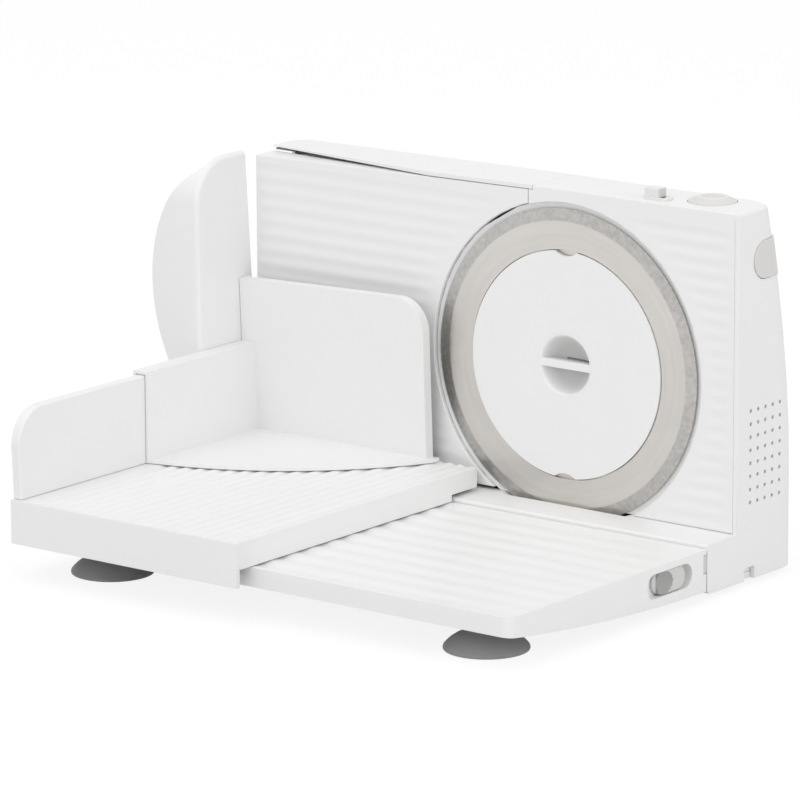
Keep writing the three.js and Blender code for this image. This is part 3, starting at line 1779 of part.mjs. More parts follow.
function guardOutline(low, inset, past) {
  const frontSlope = guardFrontLean / (guardTop - guardWaist);
  const frontAt = (z) => -guardFront - frontSlope * (z - guardWaist) + inset;
  const bendTop = guardTop - guardRound;
  const radius = guardRound - inset;
  const shape = new THREE.Shape();
  shape.moveTo(frontAt(low), low - past);
  shape.lineTo(-guardFootRear + past, low - past);
  shape.lineTo(-guardRear + past, guardWaist);
  shape.lineTo(-guardRear - guardRearLean + past, guardTop - inset);
  shape.absarc(frontAt(bendTop) + radius, bendTop, radius, Math.PI / 2, Math.PI);
  return shape;
}

function handGuard() {
  const inner = sleeveOuter - seatGap;
  const outer = inner - guardThickness;
  const low = carriageTop + guardBottomGap;
  const lobeX = outer - guardLobe + guardLobeRadius;
  const wall = prismX(guardOutline(low, 0, 0), outer, inner, 10);
  const swept = prismX(guardOutline(low, 0, 0), outer - guardLobe - 1, inner - 1, 10);
  const lip = common(
    cut(swept, prismX(guardOutline(low, guardThickness, 1), -big, outer, 10)),
    rodY(lobeX, guardLobeHeight, guardLobeRadius, -big, big, 72),
  );
  return join(wall, lip);
}

piece('hand_guard', handGuard(), whitePlastic);

// Origin: middle of the footprint, on the table

const bounds = new THREE.Box3().setFromObject(slicer);
const middle = bounds.getCenter(new THREE.Vector3());
slicer.position.set(-middle.x, -middle.y, -bounds.min.z);
slicer.updateMatrixWorld(true);

export default slicer;
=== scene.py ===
# Electric food slicer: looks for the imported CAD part, in metres and in its frame
import json
import math

import bmesh
import bpy
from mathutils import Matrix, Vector


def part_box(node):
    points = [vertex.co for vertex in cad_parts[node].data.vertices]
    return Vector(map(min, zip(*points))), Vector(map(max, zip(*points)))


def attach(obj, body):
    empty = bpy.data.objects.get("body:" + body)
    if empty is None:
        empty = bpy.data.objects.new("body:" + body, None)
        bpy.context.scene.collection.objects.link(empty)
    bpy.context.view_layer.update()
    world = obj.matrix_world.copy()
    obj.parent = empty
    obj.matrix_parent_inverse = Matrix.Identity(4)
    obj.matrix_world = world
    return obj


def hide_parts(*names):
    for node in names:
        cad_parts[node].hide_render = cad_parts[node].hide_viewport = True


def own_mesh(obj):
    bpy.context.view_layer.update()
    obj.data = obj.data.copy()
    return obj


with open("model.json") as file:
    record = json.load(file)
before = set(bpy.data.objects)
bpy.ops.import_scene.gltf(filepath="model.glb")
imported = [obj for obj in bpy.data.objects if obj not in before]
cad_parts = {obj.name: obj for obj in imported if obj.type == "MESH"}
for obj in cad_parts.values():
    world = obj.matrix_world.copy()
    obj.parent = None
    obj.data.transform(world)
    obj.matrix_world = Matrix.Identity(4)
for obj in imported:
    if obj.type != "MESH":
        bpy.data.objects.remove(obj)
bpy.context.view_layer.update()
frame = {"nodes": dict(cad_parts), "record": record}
nodes = frame["nodes"]
behaviour = frame["record"]["behaviour"]
mm = 0.001
print("frame loaded:", len(nodes), "nodes")

bodyOf = {member: body for body, members in behaviour["bodies"].items() for member in members}
slotOf = {part["node"]: part["material_slot"] for part in frame["record"]["subparts"]}

bladeLow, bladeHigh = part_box("blade")
axisX = (bladeLow.x + bladeHigh.x) / 2
axisZ = (bladeLow.z + bladeHigh.z) / 2
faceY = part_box("front_panel")[0].y  # front face of the housing

# heights and ends that several pieces share, in mm as at() takes them
bladeZ, bladeRadius = 106, 85
leftEnd, rightEnd = -212, 111.3
baseTop, carriageTop, roofTop = 28, 43, 201
near, close = 0.1, 0.05  # a point this near or close to a face counts as on it


def at(x, y, z):  # millimetres from the blade's axis, the front face and the table
    return Vector((axisX + x * mm, faceY + y * mm, z * mm))


def spot(point):  # and back again
    return (point.x - axisX) / mm, (point.y - faceY) / mm, point.z / mm


def fromAxis(x, z):  # distance from the blade's axis, in mm
    return math.hypot(x, z - bladeZ)


def onAxis(side, value=1):  # a place or a direction along one of the three axes
    place = [0, 0, 0]
    place[side] = value
    return place


def ease(value, low, high):  # 0 at low, 1 at high, smooth between
    share = min(max((value - low) / (high - low), 0), 1)
    return share * share * (3 - 2 * share)


bladeCentre = at(0, 0, bladeZ)


# selecting and editing

def deselectAll():
    active = bpy.context.view_layer.objects.active
    if active and active.mode != "OBJECT":
        bpy.ops.object.mode_set(mode="OBJECT")
    bpy.ops.object.select_all(action="DESELECT")


def makeActive(piece):
    deselectAll()
    piece.select_set(True)
    bpy.context.view_layer.objects.active = piece


def pick(piece, kind, test):  # edit mode, with only what passes the test selected
    makeActive(piece)
    bpy.ops.object.mode_set(mode="EDIT")
    bpy.ops.mesh.select_mode(type=kind)
    bpy.ops.mesh.select_all(action="DESELECT")
    mesh = bmesh.from_edit_mesh(piece.data)
    parts = {"VERT": mesh.verts, "EDGE": mesh.edges, "FACE": mesh.faces}[kind]
    for part in parts:
        if test(part):
            part.select_set(True)
    mesh.select_flush_mode()
    bmesh.update_edit_mesh(piece.data)


def pickAll(piece):
    pick(piece, "VERT", lambda vert: True)


def leaveEdit():
    bpy.ops.object.mode_set(mode="OBJECT")


def applyPlace():  # the active piece keeps its place in its mesh
    bpy.ops.object.transform_apply(location=True, rotation=True, scale=True)


def cleanMesh(piece, spread=0.001 * mm):
    pickAll(piece)
    bpy.ops.mesh.remove_doubles(threshold=spread)
    bpy.ops.mesh.normals_make_consistent(inside=False)
    leaveEdit()


def tidyFaces(piece, spread=0.002 * mm, flat=0.4):  # flat neighbours become one face, slivers go
    pickAll(piece)
    bpy.ops.mesh.remove_doubles(threshold=spread)
    bpy.ops.mesh.dissolve_degenerate(threshold=spread)
    bpy.ops.mesh.dissolve_limited(angle_limit=math.radians(flat))
    leaveEdit()


def modify(piece, kind, **settings):  # adds a modifier and applies it
    makeActive(piece)
    modifier = piece.modifiers.new(kind.title(), kind)
    for key, value in settings.items():
        setattr(modifier, key, value)
    bpy.ops.object.modifier_apply(modifier=modifier.name)


def roundWhere(piece, width, where, segments=3, sharp=40):  # outer sharp edges at the named places
    def chosen(edge):
        if len(edge.link_faces) != 2 or not edge.is_convex:
            return False
        if math.degrees(edge.calc_face_angle(0)) < sharp:
            return False
        return where(*spot((edge.verts[0].co + edge.verts[1].co) / 2))
    pick(piece, "EDGE", chosen)
    bpy.ops.mesh.bevel(offset=width * mm, segments=segments, clamp_overlap=True, miter_outer="ARC")
    leaveEdit()


def moveWhere(piece, step, where):  # shifts the points at the named places, in mm
    pick(piece, "VERT", lambda vert: where(*spot(vert.co)))
    bpy.ops.transform.translate(value=[value * mm for value in step])
    leaveEdit()


def reshape(piece, change):  # moves each point to where the rule puts it, in mm
    makeActive(piece)
    bpy.ops.object.mode_set(mode="EDIT")
    mesh = bmesh.from_edit_mesh(piece.data)
    for vert in mesh.verts:
        vert.co = at(*change(*spot(vert.co)))
    bmesh.update_edit_mesh(piece.data)
    leaveEdit()


def carve(piece, tool, operation="DIFFERENCE"):
    modify(piece, "BOOLEAN", object=tool, operation=operation, solver="EXACT")
    bpy.data.objects.remove(tool)


# paints painted shade: a second, darker material on some faces
def paintShadeWhere(piece, material, where):  # a second finish on some faces
    piece.data.materials.append(material)
    number = len(piece.data.materials) - 1
    for face in piece.data.polygons:
        if where(*spot(face.center)):
            face.material_index = number


def drawProfile(points):  # a vertex is drawn out into a line
    deselectAll()
    bpy.ops.mesh.primitive_plane_add(size=mm, location=points[0])
    piece = bpy.context.active_object
    applyPlace()
    bpy.ops.object.mode_set(mode="EDIT")
    bpy.ops.mesh.select_mode(type="VERT")
    bpy.ops.mesh.select_all(action="SELECT")
    bpy.ops.mesh.merge(type="CENTER")
    for here, there in zip(points, points[1:]):
        step = Vector(there) - Vector(here)
        bpy.ops.mesh.extrude_vertices_move(TRANSFORM_OT_translate={"value": step})
    leaveEdit()
    return piece


def turnProfile(profile, centre, axis, steps):  # (radius, along) points in mm turned round an axis
    side = "XYZ".index(axis)
    points = []
    for radius, along in profile:
        point = onAxis(side, along * mm)
        point[0] = radius * mm
        points.append(centre + Vector(point))
    piece = drawProfile(points)
    pickAll(piece)
    bpy.ops.mesh.spin(steps=steps, angle=2 * math.pi, center=centre, axis=onAxis(side))
    leaveEdit()
    cleanMesh(piece, 0.002 * mm)
    return piece


def addBlock(low, high):
    deselectAll()
    bpy.ops.mesh.primitive_cube_add(size=1, location=(low + high) / 2)
    piece = bpy.context.active_object
    piece.scale = high - low
    applyPlace()
    return piece


def addRod(centre, radius, length, axis, sides=48):
    deselectAll()
    turn = {"X": (0, math.pi / 2, 0), "Y": (math.pi / 2, 0, 0), "Z": (0, 0, 0)}[axis]
    bpy.ops.mesh.primitive_cylinder_add(
        vertices=sides, radius=radius * mm, depth=length * mm, location=centre, rotation=turn,
    )
    piece = bpy.context.active_object
    applyPlace()
    return piece


def copyNode(nodeName):
    piece = bpy.data.objects.new(nodeName + "_soft", nodes[nodeName].data.copy())
    bpy.context.collection.objects.link(piece)
    tidyFaces(piece)
    return piece


# soft waves: the copied ribs are pressed flat, the face is cut into strips and these are pressed in

def flattenRibs(piece, side, level, depth):
    pick(piece, "VERT", lambda vert: abs(vert.co[side] - level) < depth * mm)
    scale = [1, 1, 1]
    scale[side] = 0
    bpy.ops.transform.resize(value=scale, center_override=onAxis(side, level))
    leaveEdit()
    tidyFaces(piece)


def cutStrips(piece, side, level, band, cuts):
    pick(piece, "FACE", lambda face: all(
        abs(vert.co[side] - level) < band * mm for vert in face.verts))
    bpy.ops.mesh.hide(unselected=True)
    for place, direction in cuts:
        bpy.ops.mesh.select_all(action="SELECT")
        bpy.ops.mesh.bisect(plane_co=place, plane_no=direction)
    bpy.ops.mesh.reveal(select=False)
    leaveEdit()


def pressWaves(piece, wave, level):
    side, along = wave["side"], wave["along"]
    turn = 2 * math.pi / wave["pitch"]
    makeActive(piece)
    bpy.ops.object.mode_set(mode="EDIT")
    mesh = bmesh.from_edit_mesh(piece.data)
    for vert in mesh.verts:
        share = 1 - abs(vert.co[side] - level) / (wave["band"] * mm)
        if share <= 0:
            continue
        x, y, z = spot(vert.co)
        depth = wave["height"] / 2 * (1 - math.cos(turn * ((x, y, z)[along] - wave["crest"])))
        vert.co[side] += wave["inward"] * depth * mm * share * wave["fade"](x, y, z)
    bmesh.update_edit_mesh(piece.data)
    leaveEdit()


def wavePlaces(wave):  # cuts across the waves, a few to each
    step = wave["pitch"] / wave["cuts"]
    count = int((wave["high"] - wave["crest"]) / step)
    places = []
    while wave["crest"] + count * step > wave["low"]:
        places.append(wave["crest"] + count * step)
        count -= 1
    return places


def makeWaves(piece, wave):
    side, along = wave["side"], wave["along"]
    across = 3 - side - along
    level = at(*wave["face"])[side]
    cuts = []
    for axis, places in ((along, wavePlaces(wave)), (across, wave["across"])):
        for place in places:
            cuts.append((at(*onAxis(axis, place)), onAxis(axis)))
    cutStrips(piece, side, level, wave["band"] + 0.01, cuts)
    pressWaves(piece, wave, level)


# nodes of the finishes

def newMaterial(name):
    material = bpy.data.materials.new(name)
    material.use_nodes = True
    tree = material.node_tree
    shader = tree.nodes["Principled BSDF"]
    coords = tree.nodes.new("ShaderNodeTexCoord")
    return material, tree, shader, coords.outputs["Object"]


def addNoise(tree, place, scale, detail=2):
    noise = tree.nodes.new("ShaderNodeTexNoise")
    noise.inputs["Scale"].default_value = scale
    noise.inputs["Detail"].default_value = detail
    tree.links.new(place, noise.inputs["Vector"])
    return noise.outputs["Fac"]


def addRange(tree, value, low, high, start=0.3, end=0.7):
    spread = tree.nodes.new("ShaderNodeMapRange")
    spread.inputs["From Min"].default_value = start
    spread.inputs["From Max"].default_value = end
    spread.inputs["To Min"].default_value = low
    spread.inputs["To Max"].default_value = high
    tree.links.new(value, spread.inputs["Value"])
    return spread.outputs["Result"]


def addBlend(tree, value, first, second):  # colours, or the outputs of other nodes
    blend = tree.nodes.new("ShaderNodeMix")
    blend.data_type = "RGBA"
    for socket, colour in (("A", first), ("B", second)):
        if isinstance(colour, tuple):
            blend.inputs[socket].default_value = (*colour, 1)
        else:
            tree.links.new(colour, blend.inputs[socket])
    tree.links.new(value, blend.inputs["Factor"])
    return blend.outputs["Result"]


def addMath(tree, operation, first, second):
    step = tree.nodes.new("ShaderNodeMath")
    step.operation = operation
    for socket, value in zip(step.inputs, (first, second)):
        if isinstance(value, (int, float)):
            socket.default_value = value
        else:
            tree.links.new(value, socket)
    return step.outputs["Value"]


def addBump(tree, shader, height, strength, distance):
    bump = tree.nodes.new("ShaderNodeBump")
    bump.inputs["Strength"].default_value = strength
    bump.inputs["Distance"].default_value = distance
    tree.links.new(height, bump.inputs["Height"])
    tree.links.new(bump.outputs["Normal"], shader.inputs["Normal"])


# moulded plastic: faint clouds of colour, patches of gloss and a fine grain

plasticLook = {
    "cloud": 14, "patch": 60, "grain": 2600, "strength": 0.35, "relief": 0.012 * mm, "specular": 0.45,
}


def mouldedPlastic(name, pale, deep, roughness):
    material, tree, shader, place = newMaterial(name)
    cloud = addNoise(tree, place, plasticLook["cloud"], 3)
    tree.links.new(addBlend(tree, cloud, deep, pale), shader.inputs["Base Color"])
    patch = addNoise(tree, place, plasticLook["patch"])
    tree.links.new(addRange(tree, patch, *roughness), shader.inputs["Roughness"])
    grain = addNoise(tree, place, plasticLook["grain"], 1)
    addBump(tree, shader, grain, plasticLook["strength"], plasticLook["relief"])
    shader.inputs["Specular IOR Level"].default_value = plasticLook["specular"]
    return material


# plastic of the lock's bowl: painted shade, darker with the depth behind the front face

bowlShadeLook = {
    "pale": (0.874, 0.874, 0.872), "deep": (0.49, 0.49, 0.487),
    "top": 0.2, "bottom": 5.0,  # depths between which it darkens, in mm
    "cloud": (0.94, 1), "roughness": 0.45,
}


def plasticWithPaintedShade(name, look):
    material, tree, shader, place = newMaterial(name)
    parts = tree.nodes.new("ShaderNodeSeparateXYZ")
    tree.links.new(place, parts.inputs["Vector"])
    top, bottom = faceY + look["top"] * mm, faceY + look["bottom"] * mm
    depth = addRange(tree, parts.outputs["Y"], 0, 1, top, bottom)
    cloud = addRange(tree, addNoise(tree, place, plasticLook["patch"]), *look["cloud"])
    shade = addMath(tree, "MULTIPLY", depth, cloud)
    tree.links.new(addBlend(tree, shade, look["pale"], look["deep"]), shader.inputs["Base Color"])
    grain = addNoise(tree, place, plasticLook["grain"], 1)
    addBump(tree, shader, grain, plasticLook["strength"], plasticLook["relief"])
    shader.inputs["Roughness"].default_value = look["roughness"]
    return material


# steel of the blade: brushed in rings, with a darker, mottled ground edge

bladeLook = {
    "pale": (0.70, 0.675, 0.64), "deep": (0.61, 0.588, 0.555),
    "edgePale": (0.56, 0.543, 0.52), "edgeDeep": (0.44, 0.427, 0.41),
    "edge": 77.6, "edgeSoft": 0.6,  # radius where the ground edge starts, and its blend, in mm
    "roughness": (0.26, 0.38), "brushing": 0.6,
    "rings": 1900, "bands": 420, "mottle": 420, "smudge": 45, "turnShare": 0.004,
    "strength": 0.25, "relief": 0.02 * mm,
}


def groundSteel(name, look, centre):
    material, tree, shader, place = newMaterial(name)
    centred = tree.nodes.new("ShaderNodeMapping")
    centred.inputs["Location"].default_value = [-value for value in centre]
    tree.links.new(place, centred.inputs["Vector"])
    parts = tree.nodes.new("ShaderNodeSeparateXYZ")
    tree.links.new(centred.outputs["Vector"], parts.inputs["Vector"])
    flat = tree.nodes.new("ShaderNodeCombineXYZ")
    tree.links.new(parts.outputs["X"], flat.inputs["X"])
    tree.links.new(parts.outputs["Z"], flat.inputs["Z"])
    length = tree.nodes.new("ShaderNodeVectorMath")
    length.operation = "LENGTH"
    tree.links.new(flat.outputs["Vector"], length.inputs[0])
    radius = length.outputs["Value"]
    turn = addMath(tree, "ARCTAN2", parts.outputs["X"], parts.outputs["Z"])
    polar = tree.nodes.new("ShaderNodeCombineXYZ")
    tree.links.new(radius, polar.inputs["X"])
    tree.links.new(addMath(tree, "MULTIPLY", turn, look["turnShare"]), polar.inputs["Y"])
    rings = addNoise(tree, polar.outputs["Vector"], look["rings"], 3)
    bands = addNoise(tree, polar.outputs["Vector"], look["bands"])
    smudge = addNoise(tree, place, look["smudge"], 3)
    edgeEnd = look["edge"] + look["edgeSoft"]
    ground = addRange(tree, radius, 0, 1, look["edge"] * mm, edgeEnd * mm)
    face = addBlend(tree, bands, look["deep"], look["pale"])
    mottle = addRange(tree, addNoise(tree, place, look["mottle"], 4), 0, 1)
    edge = addBlend(tree, mottle, look["edgeDeep"], look["edgePale"])
    tree.links.new(addBlend(tree, ground, face, edge), shader.inputs["Base Color"])
    tree.links.new(addRange(tree, smudge, *look["roughness"]), shader.inputs["Roughness"])
    addBump(tree, shader, rings, look["strength"], look["relief"])
    shader.inputs["Metallic"].default_value = 1.0
    shader.inputs["Anisotropic"].default_value = look["brushing"]
    around = tree.nodes.new("ShaderNodeTangent")
    around.direction_type = "RADIAL"
    around.axis = "Y"
    tree.links.new(around.outputs["Tangent"], shader.inputs["Tangent"])
    return material


# other metals, and the rubber of the feet

metalLook = {"cloud": 180, "grain": 3000, "strength": 0.2, "relief": 0.01 * mm}
rubberLook = {
    "cloud": 90, "grain": 2200, "strength": 0.4, "relief": 0.03 * mm,
    "roughness": (0.55, 0.75), "specular": 0.35,
}


def plainMetal(name, pale, deep, roughness):
    material, tree, shader, place = newMaterial(name)
    cloud = addNoise(tree, place, metalLook["cloud"], 3)
    tree.links.new(addBlend(tree, cloud, deep, pale), shader.inputs["Base Color"])
    tree.links.new(addRange(tree, cloud, *roughness), shader.inputs["Roughness"])
    grain = addNoise(tree, place, metalLook["grain"], 1)
    addBump(tree, shader, grain, metalLook["strength"], metalLook["relief"])
    shader.inputs["Metallic"].default_value = 1.0
    return material


def softRubber(name, pale, deep):
    material, tree, shader, place = newMaterial(name)
    cloud = addNoise(tree, place, rubberLook["cloud"], 4)
    tree.links.new(addBlend(tree, cloud, deep, pale), shader.inputs["Base Color"])
    tree.links.new(addRange(tree, cloud, *rubberLook["roughness"]), shader.inputs["Roughness"])
    grain = addNoise(tree, place, rubberLook["grain"])
    addBump(tree, shader, grain, rubberLook["strength"], rubberLook["relief"])
    shader.inputs["Specular IOR Level"].default_value = rubberLook["specular"]
    return material


# finishes: pale and deep colour, then the range of the roughness

whitePlastic = mouldedPlastic(
    "whitePlastic", (0.885, 0.885, 0.883), (0.862, 0.862, 0.860), (0.34, 0.46))
keyPlastic = mouldedPlastic(
    "keyPlastic", (0.82, 0.815, 0.805), (0.79, 0.785, 0.775), (0.36, 0.48))
greyPlastic = mouldedPlastic(
    "greyPlastic", (0.67, 0.662, 0.648), (0.63, 0.622, 0.608), (0.36, 0.48))
buttonGreyAndPaintedShade = mouldedPlastic(
    "buttonGreyAndPaintedShade", (0.735, 0.722, 0.706), (0.70, 0.688, 0.672), (0.36, 0.48))
scoopPaintedShade = mouldedPlastic(
    "scoopPaintedShade", (0.40, 0.397, 0.39), (0.35, 0.347, 0.34), (0.45, 0.58))
darkPlastic = mouldedPlastic(
    "darkPlastic", (0.29, 0.29, 0.285), (0.25, 0.25, 0.245), (0.45, 0.6))
innerPlastic = mouldedPlastic(
    "innerPlastic", (0.50, 0.50, 0.48), (0.45, 0.45, 0.43), (0.5, 0.62))
gearPlastic = mouldedPlastic(
    "gearPlastic", (0.79, 0.74, 0.60), (0.73, 0.68, 0.54), (0.4, 0.52))
plainSteel = plainMetal(
    "plainSteel", (0.52, 0.53, 0.54), (0.44, 0.45, 0.46), (0.28, 0.42))
bearingBronze = plainMetal(
    "bearingBronze", (0.50, 0.31, 0.12), (0.40, 0.23, 0.07), (0.3, 0.45))
motorCase = plainMetal(
    "motorCase", (0.32, 0.34, 0.35), (0.26, 0.27, 0.28), (0.38, 0.52))
footRubber = softRubber("footRubber", (0.33, 0.331, 0.333), (0.275, 0.276, 0.278))
bowlPaintedShade = plasticWithPaintedShade("bowlPaintedShade", bowlShadeLook)
bladeSteel = groundSteel("bladeSteel", bladeLook, (axisX, faceY, axisZ))
slotFinish = {
    "white_plastic": whitePlastic, "grey_plastic": greyPlastic, "dark_plastic": darkPlastic,
    "inner_plastic": innerPlastic, "gear_plastic": gearPlastic, "grey_rubber": footRubber,
    "blade_steel": bladeSteel, "steel": plainSteel, "bronze": bearingBronze,
    "motor_steel": motorCase,
}
for nodeName, node in nodes.items():
    node.data.materials.clear()
    node.data.materials.append(slotFinish[slotOf[nodeName]])
print("finishes made")


def dress(piece, nodeName, material=None, angle=35):  # the finished piece stands for one node
    name = nodeName + "_moulded"
    makeActive(piece)
    applyPlace()
    bpy.ops.object.shade_smooth()
    pick(piece, "EDGE", lambda edge: math.degrees(edge.calc_face_angle(0)) > angle)
    bpy.ops.mesh.mark_sharp()
    leaveEdit()
    modify(piece, "WEIGHTED_NORMAL", weight=60, keep_sharp=True)
    piece.name = name
    piece.data.name = name
    piece.data.materials.clear()
    piece.data.materials.append(material or slotFinish[slotOf[nodeName]])
    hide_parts(nodeName)
    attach(piece, bodyOf[nodeName])
    print("made", name, len(piece.data.polygons), "faces")
    return piece


# stop plate: level waves that fade at the left edge, along the top and round the blade

plateWaves = {  # the front panel has them too
    "side": 1, "along": 2, "inward": 1, "face": (0, 0, 0), "ribs": 0.65,
    "pitch": 8.05, "crest": 135.7, "cuts": 8, "low": 31, "high": 197,
}


def besideBlade(x, z):  # 0 in the smooth band round the blade, 1 outside it
    return ease(fromAxis(x, z), 91, 100)


stopPlate = {
    **plateWaves, "band": 0.5, "height": 0.35, "edge": 0.5,
    "across": [-211, -209.5, -207] + list(range(-104, -20, 3)),
    "fade": lambda x, y, z: (
        ease(x, -211.8, -207) * ease(-z, -196, -190) * besideBlade(x, z)),
}
piece = copyNode("stop_plate")
flattenRibs(piece, 1, faceY, stopPlate["ribs"])
roundWhere(piece, stopPlate["edge"], lambda x, y, z: y < near or x < leftEnd + near)
makeWaves(piece, stopPlate)
dress(piece, "stop_plate")


# front panel: the same waves round the blade's well, fitted closely under the roof

frontPanel = {
    **plateWaves, "band": 0.4, "height": 0.52, "edge": 0.4,
    "across": list(range(-24, 108, 3)),
    "fade": lambda x, y, z: (
        ease(-x, -108, -98) * ease(-z, -196, -188) * besideBlade(x, z)),
    "top": 198.1, "upStep": 0.28, "right": 108.4, "rightStep": 0.12,
    # ring behind the blade
    "ringFront": 2, "ringInside": 79, "ringRim": (87.5, 88.3), "ringStep": 0.5, "ringWider": 0.3,
    # open place in the ring: degrees left of the top, half its width, depths and heights in mm
    "gapTurn": 31, "gapHalf": 17, "gapDepth": (1.5, 14), "gapHeight": (193.3, 194.6),
    "wellEdge": 92,
}
rimLow, rimHigh = frontPanel["ringRim"]


def onRing(x, y, z):
    onFront = abs(y - frontPanel["ringFront"]) < 0.5
    return onFront and frontPanel["ringInside"] < fromAxis(x, z) < rimHigh


def widerRing(x, y, z):  # the ring behind the blade reaches closer to the stop plate
    radius = fromAxis(x, z)
    behind = y - frontPanel["ringFront"] - frontPanel["ringStep"]
    if abs(behind) > near or not rimLow < radius < rimHigh:
        return x, y, z
    wider = 1 + frontPanel["ringWider"] / radius
    return x * wider, y, bladeZ + (z - bladeZ) * wider


piece = copyNode("front_panel")
flattenRibs(piece, 1, faceY, frontPanel["ribs"])
moveWhere(piece, (0, 0, frontPanel["upStep"]), lambda x, y, z: z > frontPanel["top"])
moveWhere(piece, (frontPanel["rightStep"], 0, 0), lambda x, y, z: x > frontPanel["right"])
moveWhere(piece, (0, frontPanel["ringStep"], 0), onRing)
reshape(piece, widerRing)
gapFront, gapBack = frontPanel["gapDepth"]
gapLow, gapHigh = frontPanel["gapHeight"]
gap = addBlock(
    at(-frontPanel["gapHalf"], gapFront, gapLow), at(frontPanel["gapHalf"], gapBack, gapHigh))
makeActive(gap)
bpy.ops.transform.rotate(
    value=math.radians(frontPanel["gapTurn"]), orient_axis="Y", center_override=bladeCentre,
)
applyPlace()
carve(piece, gap)
roundWhere(piece, frontPanel["edge"], lambda x, y, z: (
    y < near and fromAxis(x, z) < frontPanel["wellEdge"]))
makeWaves(piece, frontPanel)
dress(piece, "front_panel")


# base: broad waves across it, flatter towards the right end, and round front corners

tableWaves = {  # the sill of the housing carries them on
    "side": 2, "along": 1, "inward": -1, "face": (0, 0, baseTop), "band": 0.7,
    "pitch": 16.7, "crest": -196.6, "height": 0.78, "cuts": 10,
    "across": [-40, -20, 0, 20, 40, 60, 80, 95, 105, 107.5, 109, 110.2],
}
basePlate = {
    **tableWaves, "low": -197.2, "high": -26.9, "ribs": 1.15, "edge": 0.7,
    "fade": lambda x, y, z: (
        (0.4 + 0.6 * ease(-x, -rightEnd, -107.5)) * (1 - 0.45 * ease(x, -20, 105))),
    "front": -197.8, "corner": 5.6, "past": 3, "skirt": 20,
    "rear": -27.3, "rearFoot": 25.9, "rearStep": 0.63,  # narrows the seam in front of the sill
    "hole": (104, -49.3, 17.8), "holeRadius": 6.2, "holeLength": 7,  # under the latch's rear end
}


def roundBaseEdge(x, y, z):
    inFront = y < basePlate["rear"] - 0.5
    if z > baseTop - near:
        return inFront
    atEnd = abs(x - leftEnd) < near or x > rightEnd - near and inFront
    return z < basePlate["skirt"] and (y < basePlate["front"] + 0.8 or atEnd)


piece = copyNode("base_plate")
flattenRibs(piece, 2, at(0, 0, baseTop).z, basePlate["ribs"])
moveWhere(piece, (0, basePlate["rearStep"], 0), lambda x, y, z: (
    abs(y - basePlate["rear"]) < close and z > basePlate["rearFoot"]))
corner = basePlate["corner"]
cornerY = basePlate["front"] + corner
for end, outward in ((rightEnd, 1), (leftEnd, -1)):
    cornerX = end - outward * corner
    first, last = sorted((cornerX, end + outward * basePlate["past"]))
    outside = addBlock(at(first, basePlate["front"] - basePlate["past"], 0), at(last, cornerY, 40))
    carve(outside, addRod(at(cornerX, cornerY, 20), corner, 60, "Z", 96))
    carve(piece, outside)
roundWhere(piece, basePlate["edge"], roundBaseEdge, sharp=60)
makeWaves(piece, basePlate)
holeX, holeY, holeZ = basePlate["hole"]
holeRadius = basePlate["holeRadius"]
carve(piece, addRod(at(holeX, holeY, holeZ), holeRadius, basePlate["holeLength"], "X"))
piece = dress(piece, "base_plate", angle=22)
# the hole's wall is painted dark plastic as painted shade in the hole
paintShadeWhere(piece, darkPlastic, lambda x, y, z: (
    abs(x - holeX) < 2.3 and abs(math.hypot(y - holeY, z - holeZ) - holeRadius) < near))


# carriage: narrow waves from front to rear, and a shorter left end

carriage = {
    "side": 2, "along": 0, "inward": -1, "face": (0, 0, carriageTop), "band": 0.9, "ribs": 0.85,
    "pitch": 7.6, "crest": -58.3, "height": 0.85, "cuts": 8, "low": -196, "high": -56,
    "across": [-208.5, -207, -205, -202],
    "fade": lambda x, y, z: (
        ease(x, -199.5, -195.5) * ease(-x, 56, 58) * (0.3 + 0.7 * ease(y, -209.5, -202))),
    "edge": 0.9, "front": -210, "right": -55,
    "leftStep": 2.7, "innerWall": -209, "innerFoot": 29, "innerStep": 2.2,
}
piece = copyNode("carriage")
flattenRibs(piece, 2, at(0, 0, carriageTop).z, carriage["ribs"])
moveWhere(piece, (carriage["leftStep"], 0, 0), lambda x, y, z: x < leftEnd + near)
moveWhere(piece, (carriage["innerStep"], 0, 0), lambda x, y, z: (
    abs(x - carriage["innerWall"]) < close and z < carriage["innerFoot"]))
roundWhere(piece, carriage["edge"], lambda x, y, z: (
    z > carriageTop - near or x > carriage["right"] - near
    or x < leftEnd + carriage["leftStep"] + near or y < carriage["front"] + near))
makeWaves(piece, carriage)
dress(piece, "carriage")


# fence with a slightly leaning front edge

fence = {"edge": 1.2, "foot": 44, "lean": 1.3, "front": -209, "leanBelow": 50}
piece = copyNode("fence")
moveWhere(piece, (0, fence["lean"], 0), lambda x, y, z: (
    y < fence["front"] and z < fence["leanBelow"]))
roundWhere(piece, fence["edge"], lambda x, y, z: z > fence["foot"], segments=4)
dress(piece, "fence")


# hand guard: a fuller lobe, and a rounder bend between wall and lip than at the other edges

handGuard = {
    "bend": 2.8, "edge": 0.7, "innerFace": -211.3, "outerFace": -214.3,
    "lobe": 32.4, "newLobe": 30.2, "fullness": 0.95, "rise": 0.11,
    "bendFront": -22, "bendTop": 199, "bendFoot": 44.2,
}


def fullerLobe(x, y, z):  # the lip ends in a rounder, slightly higher lobe
    out = handGuard["outerFace"] - x
    if out < close:
        return x, y, z
    wider = handGuard["newLobe"] * (out / handGuard["lobe"]) ** handGuard["fullness"]
    return handGuard["outerFace"] - wider, y, z + handGuard["rise"] * out


def onBend(x, y, z):
    onLip = y < handGuard["bendFront"] or z > handGuard["bendTop"]
    return abs(x - handGuard["innerFace"]) < close and onLip and z > handGuard["bendFoot"]


piece = copyNode("hand_guard")
reshape(piece, fullerLobe)
roundWhere(piece, handGuard["bend"], onBend, segments=5)
roundWhere(piece, handGuard["edge"], lambda x, y, z: x < handGuard["innerFace"] - 0.2, sharp=60)
dress(piece, "hand_guard")


# housing: rounder front edges and rear corner, a short slot for the blade, waves on the sill

